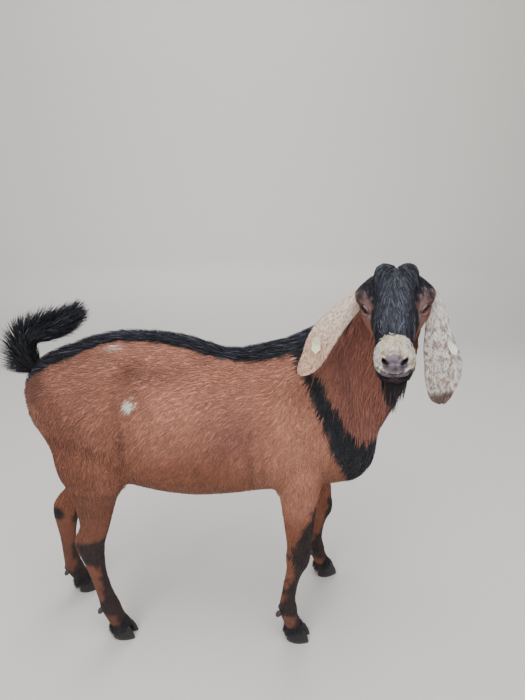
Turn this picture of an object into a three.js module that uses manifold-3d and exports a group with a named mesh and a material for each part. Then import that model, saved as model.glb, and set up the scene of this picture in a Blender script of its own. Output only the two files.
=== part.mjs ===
// A Nubian goat at life size, standing square with its head turned to its right.
// Millimetres, +Z up. The goat faces +X, so its right side is towards -Y.
import * as THREE from "three";
import { mergeVertices } from "three/addons/utils/BufferGeometryUtils.js";
import Module from "manifold-3d";

const wasm = await Module();
wasm.setup();

// Gaps and general sizes
const GAP = 0.3; // between pieces that touch
const EYE_RADIUS = 14;
const CORONET = 38; // height of the hoof's upper rim at the toe
const HOOF_SLOPE = 0.16; // how much that rim falls towards the heel, as a share of the way back
const CLEFT = 1.5; // half the space between the two claws at the toe

const v3 = (x, y, z) => new THREE.Vector3(x, y, z);
const turn = (degrees) => THREE.MathUtils.degToRad(degrees);
const heading = (degrees) => v3(Math.cos(turn(degrees)), Math.sin(turn(degrees)), 0);
const smooth = (a, b, x) => THREE.MathUtils.smoothstep(x, a, b);

// Solids
function solid(geometry) {
  const bare = new THREE.BufferGeometry();
  bare.setAttribute("position", geometry.getAttribute("position"));
  if (geometry.index) bare.setIndex(geometry.index);
  const merged = mergeVertices(bare, 1e-3);
  const triVerts = new Uint32Array(merged.index.array);
  const vertProperties = new Float32Array(merged.attributes.position.array);
  const shape = new wasm.Manifold(new wasm.Mesh({ numProp: 3, vertProperties, triVerts }));
  if (shape.volume() > 0) return shape;
  // A surface that was wound inside out is turned.
  for (let i = 0; i < triVerts.length; i += 3) [triVerts[i], triVerts[i + 1]] = [triVerts[i + 1], triVerts[i]];
  return new wasm.Manifold(new wasm.Mesh({ numProp: 3, vertProperties, triVerts }));
}

function geometryOf(shape) {
  const mesh = shape.getMesh();
  const geometry = new THREE.BufferGeometry();
  geometry.setAttribute("position", new THREE.BufferAttribute(mesh.vertProperties, 3));
  geometry.setIndex(new THREE.BufferAttribute(mesh.triVerts, 1));
  return geometry;
}

// The largest closed surface of a shape.
function largest(shape) {
  return shape.decompose().sort((a, b) => b.volume() - a.volume())[0];
}

// The part of a shape on the side of a plane that its normal points to, a little short of the plane.
function trim(shape, point, normal) {
  const n = normal.clone().normalize();
  return shape.trimByPlane([n.x, n.y, n.z], point.dot(n) + GAP / 2);
}

// Lofts
// A station is one cross-section: its top and bottom points, its half-width, how much narrower the top is
// than the bottom (egg), and how square the outline is (full, where 2 is an ellipse).
const station = (top, bottom, half, egg = 0, full = 2) => ({ top, bottom, half, egg, full });

function catmull(a, b, c, d, t) {
  const t2 = t * t;
  return 0.5 * (2 * b + (c - a) * t + (2 * a - 5 * b + 4 * c - d) * t2 + (3 * b - a - 3 * c + d) * t2 * t);
}

function catmullVector(a, b, c, d, t) {
  return v3(catmull(a.x, b.x, c.x, d.x, t), catmull(a.y, b.y, c.y, d.y, t), catmull(a.z, b.z, c.z, d.z, t));
}

// The cross-section at place u, counted in stations.
function sectionAt(stations, u) {
  const last = stations.length - 1;
  const i = Math.min(Math.floor(u), last - 1);
  const pick = (k) => stations[THREE.MathUtils.clamp(k, 0, last)];
  const [a, b, c, d] = [pick(i - 1), pick(i), pick(i + 1), pick(i + 2)];
  const t = u - i;
  const value = (name) => catmull(a[name], b[name], c[name], d[name], t);
  const place = (name) => catmullVector(a[name], b[name], c[name], d[name], t);
  const top = place("top");
  const bottom = place("bottom");
  const centre = top.clone().add(bottom).multiplyScalar(0.5);
  return { centre, up: top.sub(centre), half: value("half"), egg: value("egg"), full: value("full") };
}

// A smooth closed body through stations. swells are soft bumps, each {at, size, height}.
class Loft {
  constructor(stations, { rings, sides, startCap = 10, endCap = 10, capLoops = 2, swells = [], grow = 0 }) {
    Object.assign(this, { stations, rings, sides, startCap, endCap, capLoops, swells, grow });
  }

  along(u) {
    const last = this.stations.length - 1;
    const step = 0.02;
    const before = sectionAt(this.stations, Math.max(0, u - step)).centre;
    const after = sectionAt(this.stations, Math.min(last, u + step)).centre;
    return after.sub(before).normalize();
  }

  // The surface at place u along the body and angle from its top, towards its left side.
  at(u, angle, shrink = 1, shift = 0) {
    const { centre, up, half, egg, full } = sectionAt(this.stations, u);
    const tangent = this.along(u);
    const side = up.clone().cross(tangent).normalize();
    const power = 2 / full;
    const c = Math.sign(Math.cos(angle)) * Math.abs(Math.cos(angle)) ** power;
    const s = Math.sign(Math.sin(angle)) * Math.abs(Math.sin(angle)) ** power;
    const width = half * (1 - egg * c);
    const height = up.length();
    const upright = up.clone().normalize();
    const normal = upright.clone().multiplyScalar(c / height);
    normal.addScaledVector(side, s / half).normalize();
    const point = centre.clone().addScaledVector(upright, height * c * shrink);
    point.addScaledVector(side, width * s * shrink).addScaledVector(tangent, shift);
    let rise = this.grow;
    for (const { at, size, height: h } of this.swells) {
      const d = point.clone().sub(at).divide(size);
      rise += h * Math.exp(-d.lengthSq());
    }
    point.addScaledVector(normal, rise * shrink);
    return { point, normal, tangent, side, upright };
  }

  geometry() {
    const { rings, sides, stations, capLoops } = this;
    const last = stations.length - 1;
    const loops = [];
    const ring = (u, shrink, shift) =>
      Array.from({ length: sides }, (_, j) => this.at(u, (2 * Math.PI * j) / sides, shrink, shift).point);
    const cap = (u, depth, sign, i) => {
      const a = (i / (capLoops + 1)) * (Math.PI / 2);
      return ring(u, Math.cos(a), sign * (depth + this.grow) * Math.sin(a));
    };
    for (let i = capLoops; i > 0; i--) loops.push(cap(0, this.startCap, -1, i));
    for (let k = 0; k <= rings; k++) loops.push(ring((k / rings) * last, 1, 0));
    for (let i = 1; i <= capLoops; i++) loops.push(cap(last, this.endCap, 1, i));
    const first = sectionAt(stations, 0).centre.addScaledVector(this.along(0), -this.startCap - this.grow);
    const final = sectionAt(stations, last).centre.addScaledVector(this.along(last), this.endCap + this.grow);
    return skinOf(loops, first, final);
  }

  solid() {
    return solid(this.geometry());
  }
}

// A closed surface over loops of points, with a point or nothing beyond each end.
function skinOf(loops, first, final) {
  const sides = loops[0].length;
  const points = [...loops.flat(), first, final];
  const index = [];
  const at = (k, j) => k * sides + (j % sides);
  for (let k = 0; k < loops.length - 1; k++)
    for (let j = 0; j < sides; j++) {
      index.push(at(k, j), at(k + 1, j), at(k + 1, j + 1));
      index.push(at(k, j), at(k + 1, j + 1), at(k, j + 1));
    }
  const end = loops.length - 1;
  for (let j = 0; j < sides; j++) {
    index.push(points.length - 2, at(0, j), at(0, j + 1));
    index.push(points.length - 1, at(end, j + 1), at(end, j));
  }
  const geometry = new THREE.BufferGeometry().setFromPoints(points);
  geometry.setIndex(index);
  return geometry;
}

// Trunk: torso and neck in one sweep, with no step where they meet
const across = (xTop, zTop, xLow, zLow, half, egg, full = 2.15) =>
  station(v3(xTop, 0, zTop), v3(xLow, 0, zLow), half, egg, full);

const TRUNK = [
  across(-404, 764, -384, 610, 72, 0.05),
  across(-372, 792, -330, 540, 104, 0.05),
  across(-300, 825, -262, 497, 126, 0.1),
  across(-210, 851, -190, 474, 140, 0.15),
  across(-112, 853, -105, 452, 154, 0.17),
  across(-20, 838, -10, 440, 160, 0.18),
  across(70, 807, 90, 440, 150, 0.17),
  across(140, 811, 180, 441, 134, 0.16),
  across(188, 825, 268, 442, 124, 0.14),
  across(228, 837, 374, 450, 116, 0.1),
  across(262, 852, 436, 504, 102, 0.06),
  station(v3(296, 0, 869), v3(459, 0, 590), 88, 0.04),
  station(v3(333, -4, 893), v3(490, -8, 662), 77, 0.04),
  station(v3(366, -12, 923), v3(504, -27, 728), 70, 0.04),
  station(v3(393, -24, 954), v3(508, -58, 785), 65, 0.04),
  station(v3(414, -42, 984), v3(500, -88, 838), 60, 0.04),
  station(v3(428, -66, 1000), v3(488, -116, 884), 56, 0.04),
];
const NECK_CUT = { top: v3(236, 0, 845), bottom: v3(420, 0, 478) };

// Swells that both sides share: hip bone, haunch, shoulder blade, point of the shoulder, ribs and flank hollow.
function bothSides(list) {
  return list.flatMap(([x, y, z, sx, sy, sz, height]) =>
    [1, -1].map((sign) => ({ at: v3(x, sign * y, z), size: v3(sx, sy, sz), height })),
  );
}

const TRUNK_SWELLS = [
  ...bothSides([
    [-190, 95, 800, 45, 45, 40, 13],
    [-395, 62, 750, 38, 32, 38, 12],
    [-290, 130, 650, 90, 80, 90, 12],
    [-165, 140, 720, 60, 60, 75, -14],
    [210, 120, 660, 75, 60, 120, 14],
    [330, 95, 590, 60, 50, 60, 14],
    [-20, 160, 600, 150, 80, 120, 5],
  ]),
  { at: v3(410, 0, 495), size: v3(70, 50, 60), height: 17 },
];

const TRUNK_SIZES = { rings: 36, sides: 20, startCap: 22, endCap: 20, swells: TRUNK_SWELLS };
const trunk = new Loft(TRUNK, TRUNK_SIZES);
const trunkSpace = new Loft(TRUNK, { ...TRUNK_SIZES, grow: GAP }).solid();

// Head, modelled in its own frame: X towards the nose, Y to its left, Z towards the forehead, and the
// origin midway between the eyes.
const HEAD = {
  at: v3(423, -164, 951.5),
  facing: -104.5, // plan direction of the nose
  droop: 27, // how far the face's axis points below the horizon
  roll: 5, // how far it leans to its right
};
const headMatrix = new THREE.Matrix4().makeRotationFromEuler(
  new THREE.Euler(turn(HEAD.roll), turn(HEAD.droop), turn(HEAD.facing), "ZYX"),
);
headMatrix.setPosition(HEAD.at);
const inHead = (x, y, z) => v3(x, y, z).applyMatrix4(headMatrix);

const face = (x, top, low, half, egg = 0, full = 2.2) =>
  station(v3(x, 0, top), v3(x, 0, low), half, egg, full);
const SKULL = [
  face(-110, 4, -34, 24, 0),
  face(-102, 20, -46, 40, 0),
  face(-82, 42, -66, 62, 0.05),
  face(-52, 60, -80, 74, 0.08),
  face(-22, 64, -84, 72, 0.08),
  face(0, 60, -82, 60, 0.06),
  face(26, 53, -76, 50, 0.02),
  face(60, 43, -64, 43, 0),
  face(92, 31, -62, 39.5, 0),
  face(118, 20, -70, 38.5, 0),
  face(138, 8, -68, 35, 0.06),
  face(148, -3, -55, 27, 0.1),
];
const SKULL_SWELLS = bothSides([
  [-24, 62, 17, 26, 22, 20, 17],
  [14, 54, -26, 26, 24, 18, 6],
  [134, 27, 0, 14, 13, 12, 5],
  [122, 30, -26, 24, 16, 12, 4],
  [-58, 62, -52, 32, 24, 30, 7],
  [64, 40, -16, 34, 20, 18, -5],
  [-58, 56, 22, 26, 22, 26, 2],
  [130, 12, -66, 22, 22, 14, 3],
]);
const skull = new Loft(SKULL, { rings: 22, sides: 22, startCap: 7, endCap: 9, swells: SKULL_SWELLS });

const EYE = { x: -2, y: 51, z: 2, outward: 58 }; // outward: degrees between its gaze and the face's axis

function ball(radius, centre, segments = 12) {
  const geometry = new THREE.SphereGeometry(radius, segments, segments / 2 + 2);
  return geometry.translate(centre.x, centre.y, centre.z);
}

// Legs
// Each leg runs down a path of joints. A leg station stands on that path: how far the flesh reaches in
// front of it, behind it and to each side.
function legStations(path, sizes, forward) {
  const curve = new THREE.CatmullRomCurve3(path, false, "centripetal");
  return sizes.map(([t, front, back, half, full = 2]) => {
    const at = curve.getPoint(t);
    const axis = curve.getTangent(t);
    const ahead = forward.clone().addScaledVector(axis, -forward.dot(axis)).normalize();
    const top = at.clone().addScaledVector(ahead, front);
    return station(top, at.clone().addScaledVector(ahead, -back), half, 0, full);
  });
}

// Place on the path, then front, back and side sizes, for a foreleg and a hind leg.
const FORE_SIZES = [
  [0.0, 84, 84, 50],
  [0.1, 72, 72, 46],
  [0.2, 54, 54, 39],
  [0.27, 44, 43, 34],
  [0.33, 37, 36, 29],
  [0.37, 33, 32, 27],
  [0.4, 34, 33, 28, 2.3],
  [0.44, 31, 30, 27, 2.3],
  [0.5, 24, 23, 20],
  [0.6, 22, 22, 18],
  [0.7, 22, 23, 19],
  [0.77, 25, 27, 23],
  [0.81, 27, 28, 25],
  [0.87, 24, 25, 23],
  [0.93, 25, 25, 24],
  [1.0, 28, 26, 26, 2.2],
];
const HIND_SIZES = [
  [0.0, 100, 92, 50],
  [0.07, 96, 92, 50],
  [0.143, 84, 90, 48],
  [0.214, 67, 76, 43],
  [0.286, 52, 60, 37],
  [0.357, 43, 50, 31],
  [0.429, 37, 41, 27],
  [0.5, 36, 41, 25],
  [0.54, 36, 45, 25],
  [0.571, 35, 47, 25],
  [0.605, 33, 41, 25],
  [0.643, 30, 33, 23],
  [0.714, 24, 26, 19],
  [0.8, 24, 25, 20],
  [0.857, 27, 29, 25],
  [0.93, 25, 27, 24],
  [1.0, 28, 27, 26, 2.2],
];

// The points each leg runs through, from the top down to inside the hoof, the way its toes point, and
// which of them are its knee or hock and its fetlock.
const LEGS = {
  fore_right: {
    path: [
      v3(256, -62, 640),
      v3(243, -98, 470),
      v3(243, -108, 276),
      v3(225, -110, 187),
      v3(221, -110, 105),
      v3(243, -105, 22),
    ],
    seam: v3(246, -104, 560),
    toes: -14,
    bend: 2,
    fetlock: 4,
    sizes: FORE_SIZES,
  },
  fore_left: {
    path: [
      v3(272, 62, 640),
      v3(300, 104, 470),
      v3(343, 118, 268),
      v3(333, 126, 180),
      v3(334, 130, 102),
      v3(361, 131, 22),
    ],
    seam: v3(286, 104, 560),
    toes: 8,
    bend: 2,
    fetlock: 4,
    sizes: FORE_SIZES,
  },
  hind_right: {
    path: [
      v3(-276, -60, 690),
      v3(-250, -104, 550),
      v3(-256, -100, 470),
      v3(-270, -90, 380),
      v3(-288, -80, 318),
      v3(-282, -77, 215),
      v3(-262, -76, 108),
      v3(-238, -70, 22),
    ],
    seam: v3(-262, -112, 612),
    toes: -10,
    bend: 4,
    fetlock: 6,
    sizes: HIND_SIZES,
  },
  hind_left: {
    path: [
      v3(-290, 60, 690),
      v3(-290, 104, 550),
      v3(-310, 104, 470),
      v3(-352, 92, 380),
      v3(-396, 78, 312),
      v3(-412, 86, 205),
      v3(-411, 96, 92),
      v3(-384, 106, 22),
    ],
    seam: v3(-290, 112, 612),
    toes: 12,
    bend: 4,
    fetlock: 6,
    sizes: HIND_SIZES,
  },
};

// The two claws of a hoof stand side by side on the floor, each with a flat sole.
function claw(foot, toes, side) {
  const [length, width] = [64, 24];
  const forward = heading(toes);
  const left = heading(toes + 90);
  const outline = (scale, x0, height) =>
    Array.from({ length: 14 }, (_, i) => {
      const a = (2 * Math.PI * i) / 14;
      const x = x0 + (length / 2) * scale * Math.cos(a);
      const taper = 1 - 0.3 * Math.cos(a) - 0.1 * Math.cos(2 * a);
      const y = side * (CLEFT + width / 2) + (width / 2) * scale * taper * Math.sin(a);
      const z = height < 0 ? 0 : height - HOOF_SLOPE * (24 - x);
      return foot.clone().addScaledVector(forward, x).addScaledVector(left, y).setZ(z);
    });
  const loops = [outline(1.0, 8, -1), outline(0.97, 6, CORONET * 0.45), outline(0.88, 1, CORONET - GAP)];
  const middle = (loop) => loop.reduce((a, p) => a.add(p), v3(0, 0, 0)).divideScalar(loop.length);
  return skinOf(loops, middle(loops[0]), middle(loops[2]));
}

// A dew claw: a short blunt horn behind the fetlock.
function dewclaw(at, toes, side) {
  const forward = heading(toes);
  const left = heading(toes + 90);
  const root = at.clone().addScaledVector(forward, -19).addScaledVector(left, side * 12);
  const tip = root.clone().addScaledVector(forward, -13).add(v3(0, 0, -19)).addScaledVector(left, side * 2);
  const curve = new THREE.LineCurve3(root, tip);
  const sizes = [[0, 9, 7, 8], [0.6, 8, 6, 7], [1, 5, 4, 5]];
  const stations = sizes.map(([t, front, back, half]) => {
    const p = curve.getPoint(t);
    return station(p.clone().addScaledVector(forward, front), p.clone().addScaledVector(forward, -back), half);
  });
  return new Loft(stations, { rings: 1, sides: 6, startCap: 3, endCap: 3, capLoops: 1 }).solid();
}

// Tail, ears and tags
const TAIL_PATH = [
  v3(-390, 0, 764),
  v3(-408, 0, 798),
  v3(-404, 0, 838),
  v3(-370, 0, 863),
  v3(-328, 0, 880),
  v3(-296, 0, 898),
];
const TAIL_SIZES = [
  [0, 16, 18, 20],
  [0.2, 17, 18, 19],
  [0.4, 18, 22, 19],
  [0.6, 20, 22, 18],
  [0.8, 17, 17, 14],
  [1, 8, 8, 7],
];

function tailStations() {
  const curve = new THREE.CatmullRomCurve3(TAIL_PATH);
  return TAIL_SIZES.map(([t, front, back, half]) => {
    const at = curve.getPoint(t);
    const axis = curve.getTangent(t);
    const ahead = v3(axis.z, 0, -axis.x);
    return station(at.clone().addScaledVector(ahead, front), at.clone().addScaledVector(ahead, -back), half);
  });
}

// An ear is a cupped sheet along a hanging curve. Each row is [place, half-width, depth of the cup].
const EAR_THICKNESS = 4;
const EARS = {
  left: {
    path: [
      v3(494, -129, 978),
      v3(514, -128, 966),
      v3(524, -142, 936),
      v3(527, -154, 900),
      v3(532, -160, 868),
      v3(541, -165, 833),
      v3(543, -167, 798),
      v3(541, -167, 766),
      v3(545, -164, 736),
    ],
    outward: v3(0.12, -0.98, 0.12),
    rows: [
      [0, 14, 13],
      [0.12, 20, 15],
      [0.25, 25, 16],
      [0.37, 30, 15],
      [0.5, 38, 14],
      [0.62, 43, 12],
      [0.75, 42, 10],
      [0.86, 33, 8],
      [0.95, 22, 5],
      [1, 12, 3],
    ],
    tag: { t: 0.5, across: 17, lift: 9 },
  },
  right: {
    path: [
      v3(375, -104, 979),
      v3(352, -112, 960),
      v3(319, -125, 933),
      v3(289, -140, 904),
      v3(270, -148, 875),
      v3(254, -152, 839),
      v3(230, -153, 806),
    ],
    outward: v3(-0.4, -0.86, 0.3),
    rows: [
      [0, 14, 13],
      [0.14, 19, 15],
      [0.28, 24, 16],
      [0.42, 28, 15],
      [0.56, 30, 14],
      [0.7, 29, 12],
      [0.84, 24, 9],
      [0.94, 17, 6],
      [1, 10, 3],
    ],
    tag: { t: 0.66, across: -4, lift: 9 },
  },
};

// The ear's centreline at place t, with the ways its length, its width and its outer face run.
function earFrame(curve, outward, t) {
  const at = curve.getPoint(t);
  const axis = curve.getTangent(t);
  const side = outward.clone().cross(axis).normalize();
  return { at, axis, side, out: axis.clone().cross(side).normalize() };
}

function earLoop(curve, outward, t, half, cup, points = 7) {
  const { at, side, out } = earFrame(curve, outward, t);
  const sheet = (k, level) => {
    const w = (2 * k) / (points - 1) - 1;
    const edge = 1 - 0.55 * w * w;
    return at
      .clone()
      .addScaledVector(side, half * w)
      .addScaledVector(out, cup * (0.5 - w * w) + (level * EAR_THICKNESS * edge) / 2);
  };
  const outer = Array.from({ length: points }, (_, k) => sheet(k, 1));
  const inner = Array.from({ length: points }, (_, k) => sheet(points - 1 - k, -1));
  return [...outer, ...inner];
}

// A flag tag: a five-sided plate on the ear's outer face, a stud through the ear and a button behind it.
// Its place is [t along the ear, offset across it, how far its plate stands off the ear's centreline].
const TAG = { stud: 2.6, plate: 1.6, button: 8 };
const plateOutline = [[-5, -9], [5, -9], [9, -1], [10.5, 17], [0, 28], [-10.5, 17], [-9, -1]];

function tagFrame({ path, outward, tag }) {
  const { at, axis, side, out } = earFrame(new THREE.CatmullRomCurve3(path), outward, tag.t);
  const frame = new THREE.Matrix4().makeBasis(side, axis, out);
  return frame.setPosition(at.addScaledVector(side, tag.across).addScaledVector(out, tag.lift)).toArray();
}

function rod(radius, from, to, segments) {
  const geometry = new THREE.CylinderGeometry(radius, radius, to - from, segments);
  return solid(geometry.rotateX(turn(90)).translate(0, 0, (from + to) / 2));
}

function tagSolid(earShape) {
  const outline = new THREE.Shape(plateOutline.map(([x, y]) => new THREE.Vector2(x, y)));
  const plate = solid(new THREE.ExtrudeGeometry(outline, { depth: TAG.plate, bevelEnabled: false }));
  const stud = rod(TAG.stud, -12, TAG.plate / 2, 8);
  const cap = rod(5, TAG.plate / 2, TAG.plate + 1.2, 12);
  const button = rod(TAG.button, -14, -11.5, 12);
  return plate.add(stud).add(cap).add(button).transform(tagFrame(earShape));
}

function tagHole(earShape) {
  return rod(TAG.stud + GAP, -25, 12, 8).transform(tagFrame(earShape));
}

function ear({ path, outward, rows }) {
  const curve = new THREE.CatmullRomCurve3(path);
  const loops = rows.map(([t, half, cup]) => earLoop(curve, outward, t, half, cup));
  const middle = (loop) => loop.reduce((a, p) => a.add(p), v3(0, 0, 0)).divideScalar(loop.length);
  return solid(skinOf(loops, middle(loops[0]), middle(loops[loops.length - 1])));
}

// Locks of hair
function randomSource(seed) {
  let state = seed;
  return () => {
    state = (state + 0x6d2b79f5) | 0;
    let t = Math.imul(state ^ (state >>> 15), 1 | state);
    t = (t + Math.imul(t ^ (t >>> 7), 61 | t)) ^ t;
    return ((t ^ (t >>> 14)) >>> 0) / 4294967296;
  };
}
const within = (random, low, high) => low + (high - low) * random();

// A lock is flat and tapered. spine gives four places {point, out} from its root to its tip, where out is
// the way its flat face looks.
const ALONG = [0, 0.36, 0.74, 1];
function lockOn(spine, width, thick) {
  const loops = [[0.8, 1], [1, 1], [0.66, 0.7]].map(([w, t], k) => {
    const { point, out } = spine[k];
    const lie = spine[k + 1].point.clone().sub(spine[Math.max(0, k - 1)].point).normalize();
    const side = lie.clone().cross(out).normalize();
    const flat = side.clone().cross(lie);
    return [[1, -0.3], [0, 0.6], [-1, -0.3]].map(([a, b]) =>
      point.clone().addScaledVector(side, (a * w * width) / 2).addScaledVector(flat, b * t * thick),
    );
  });
  return solid(skinOf(loops, spine[0].point, spine[3].point));
}

// A lock that follows the surface of a loft from place u and an angle. It rises off the skin towards its tip.
function coatLock(loft, { u, angle, length, turned = 0, rise, width, thick = 8, sink = 7 }) {
  const there = loft.at(u, angle).point;
  const step = 0.1 * Math.sign(length);
  const reach = (0.1 * length) / there.distanceTo(loft.at(u + step, angle).point);
  const spine = ALONG.map((s) => {
    const { point, normal } = loft.at(u + reach * s, angle + turned * s);
    const lift = rise * Math.sin(Math.min(1, s * 1.3) * (Math.PI / 2)) - sink * (1 - s) ** 3;
    return { point: point.addScaledVector(normal, lift), out: normal };
  });
  return lockOn(spine, width, thick);
}

// A lock that leaves its root along one way and bends to another.
function freeLock({ root, from, to, out, length, width, thick = 9 }) {
  const knee = root.clone().addScaledVector(from.clone().normalize(), length / 2);
  const tip = knee.clone().addScaledVector(to.clone().normalize(), length / 2);
  const curve = new THREE.QuadraticBezierCurve3(root, knee, tip);
  return lockOn(ALONG.map((s) => ({ point: curve.getPoint(s), out })), width, thick);
}

// Places along a loft from one station to another, one every step millimetres.
function spaced(loft, from, to, angle, step) {
  const places = [];
  let before = loft.at(from, angle).point;
  let walked = step;
  for (let u = from; u <= to; u += 0.02) {
    const { point } = loft.at(u, angle);
    walked += point.distanceTo(before);
    before = point;
    if (walked >= step) {
      places.push(u);
      walked = 0;
    }
  }
  return places;
}

// The crest along the spine, from the croup to the nape, lying back. Each row is [angle, first place,
// spacing, rise].
function crest() {
  const random = randomSource(11);
  const rows = [[0, 2.5, 56, 13], [0.13, 2.75, 88, 10], [-0.13, 2.6, 88, 10]];
  return rows.flatMap(([angle, from, spacing, rise]) =>
    spaced(trunk, from, 13.4, 0, spacing).map((u) =>
      coatLock(trunk, {
        u,
        angle,
        turned: within(random, -0.06, 0.06),
        length: -within(random, 76, 90),
        rise: rise * within(random, 0.85, 1.15) * (1 - 0.5 * smooth(7.5, 9.5, u)),
        width: 34,
        thick: 10,
      }),
    ),
  );
}

// Long hair down the front of the neck and over the chest. Each row is [angle, first place].
function throatHair() {
  const random = randomSource(23);
  const rows = [[180, 9.5], [152, 10.2], [208, 10.2], [126, 10.9], [234, 10.9]];
  return rows.flatMap(([angle, from]) =>
    spaced(trunk, from, 13.9, turn(angle), 76).map((u) =>
      coatLock(trunk, {
        u,
        angle: turn(angle + within(random, -4, 4)),
        turned: turn(within(random, -6, 6)),
        length: -within(random, 92, 108),
        rise: within(random, 9, 13),
        width: 42,
        thick: 11,
      }),
    ),
  );
}

// The bushy tail: locks that leave its core, mostly behind and at its sides, and bend towards its tip.
function tailHair(core) {
  const random = randomSource(37);
  const locks = [];
  for (let ring = 0; ring < 6; ring++)
    for (const k of [-2, -1, 0, 1, 2]) {
      const u = 0.9 + ring * 0.72 + within(random, -0.12, 0.12);
      const angle = turn(180 + 58 * k + (ring % 2 ? 29 : 0) + within(random, -8, 8));
      const { point, normal, tangent, side } = core.at(u, angle);
      const behind = (0.5 - 0.5 * Math.cos(angle)) * (1 - ring / 6);
      const root = point.clone().addScaledVector(normal, -7);
      const from = tangent.clone().multiplyScalar(0.8).addScaledVector(normal, 0.5 + 0.6 * behind);
      const to = tangent.clone().addScaledVector(normal, 0.1 + 0.8 * behind);
      const out = normal.clone().multiplyScalar(1 - behind).addScaledVector(side, behind);
      const length = within(random, 46, 54) + 18 * behind;
      locks.push(freeLock({ root, from, to, out, length, width: 30 }));
    }
  for (const angle of [0, 180]) {
    const { point, normal, tangent } = core.at(4.9, turn(angle));
    const root = point.clone().addScaledVector(normal, -4);
    locks.push(freeLock({ root, from: tangent, to: tangent, out: normal, length: 44, width: 26 }));
  }
  return locks;
}

// The forelock, in the head's frame: two humps on the crown that part in the middle and flow down the face.
// Each row is [place on the skull, distances from the middle, length].
function forelock() {
  const random = randomSource(5);
  const rows = [
    [0.7, [9, 20], 62],
    [1.5, [9, 22, 34], 64],
    [2.6, [8, 23], 64],
    [3.6, [13], 60],
    [4.6, [8], 54],
  ];
  return rows.flatMap(([u, offsets, length]) =>
    [1, -1].flatMap((sign) =>
      offsets.map((offset) => {
        const angle = sign * Math.asin(offset / sectionAt(SKULL, u).half);
        const hump = Math.exp(-(((offset - 21) / 14) ** 2)) * Math.exp(-((u / 3) ** 2));
        const rise = 3 + 9 * hump + within(random, 0, 2);
        const turned = sign * within(random, -0.08, 0.22);
        return coatLock(skull, { u: u + within(random, -0.1, 0.1), angle, turned, length, rise, width: 26 });
      }),
    ),
  );
}

// The beard, in the head's frame: its hair hangs straight down from the chin.
function beard() {
  const random = randomSource(71);
  const world = new THREE.Matrix4().copy(headMatrix).invert();
  const down = v3(0, 0, -1).transformDirection(world);
  const roots = [
    [134, 16], [136, -14], [120, 24], [121, -25], [124, 1], [106, 13], [108, -12], [94, 0],
  ];
  return roots.map(([x, y]) => {
    const root = v3(x, y, -58);
    const to = down.clone().add(v3(within(random, -0.05, 0.05), -y * 0.012, 0));
    const out = v3(1, y * 0.02, 0);
    const length = within(random, 62, 84) + (x < 125 ? 12 : 0);
    return freeLock({ root, from: down, to, out, length, width: 24 });
  });
}

// Assembly
const goat = new THREE.Group();
const COLOURS = {
  coat: [0x9a5f42, 0.85],
  black: [0x1d1b1f, 0.8],
  ear: [0xcdbdb0, 0.85],
  horn: [0x2b2a2c, 0.45],
  eye: [0x2a1c10, 0.1],
  tag: [0xd9d3a8, 0.5],
};

function add(name, shape, look) {
  const [color, roughness] = COLOURS[look];
  const material = new THREE.MeshStandardMaterial({ color, roughness, metalness: 0 });
  const mesh = new THREE.Mesh(geometryOf(largest(shape)), material);
  mesh.name = name;
  goat.add(mesh);
}

// The opening of an eye socket, longer than tall, around the line of the eye's gaze.
function socket(sign) {
  const geometry = new THREE.SphereGeometry(1, 12, 8).scale(28, 14.5, 10).translate(21, 0, 0);
  geometry.rotateY(turn(-6)).rotateZ(sign * turn(EYE.outward));
  return solid(geometry.translate(EYE.x, sign * EYE.y, EYE.z));
}

// A thin slab through the muzzle, where the lips meet, and the shell of skin it opens.
const MOUTH = { from: 84, z: -25, slope: 1, gap: 1.8, depth: 4 };
function mouthLine() {
  const slab = new THREE.BoxGeometry(90, 120, MOUTH.gap).translate(45, 0, 0).rotateY(turn(MOUTH.slope));
  const inner = new Loft(SKULL, { ...skull, grow: -MOUTH.depth }).solid();
  return solid(slab.translate(MOUTH.from, 0, MOUTH.z)).subtract(inner);
}

function nostril(sign) {
  const geometry = new THREE.SphereGeometry(1, 8, 6).scale(10, 4.6, 7).rotateZ(sign * turn(-40));
  return solid(geometry.rotateY(turn(-25)).translate(144, sign * 20, -4));
}

// The lids: a low rim around each socket's opening.
function lids(sign) {
  const geometry = new THREE.SphereGeometry(1, 12, 8).scale(31, 19, 13.5).translate(21, 0, 0);
  geometry.rotateY(turn(-6)).rotateZ(sign * turn(EYE.outward));
  const reach = new Loft(SKULL, { ...skull, grow: 2.4 }).solid();
  return solid(geometry.translate(EYE.x, sign * EYE.y, EYE.z)).intersect(reach);
}

let headShape = skull.solid();
for (const sign of [1, -1]) headShape = headShape.add(lids(sign));
for (const sign of [1, -1]) {
  headShape = headShape.subtract(solid(ball(EYE_RADIUS + GAP, v3(EYE.x, sign * EYE.y, EYE.z))));
  headShape = headShape.subtract(socket(sign)).subtract(nostril(sign));
}
headShape = headShape.subtract(mouthLine());
headShape = wasm.Manifold.union([headShape, ...forelock(), ...beard()]);
headShape = largest(headShape).transform(headMatrix.toArray());

const headSpace = new Loft(SKULL, { ...skull, grow: GAP }).solid().transform(headMatrix.toArray());

// The legs grow out of the trunk as one body. A blunt cutter around each leg's top then parts them.
const legs = Object.entries(LEGS).map(([name, leg]) => {
  const stations = legStations(leg.path, leg.sizes, v3(1, 0, 0));
  const flesh = new Loft(stations, { rings: 21, sides: 10, startCap: 12, endCap: 6, capLoops: 1 }).solid();
  const upper = [leg.seam, ...leg.path.slice(1)];
  const around = legStations(upper, leg.sizes, v3(1, 0, 0));
  const cutter = (grow) => new Loft(around, { rings: 12, sides: 12, startCap: 30, endCap: 6, grow }).solid();
  return { name, ...leg, flesh, inside: cutter(9), outside: cutter(9 + GAP) };
});
let body = trunk.solid();
for (const { flesh } of legs) body = body.add(flesh);
body = wasm.Manifold.union([body, ...crest(), ...throatHair()]);
let trunkOnly = body;
for (const { outside } of legs) trunkOnly = trunkOnly.subtract(outside);

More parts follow.
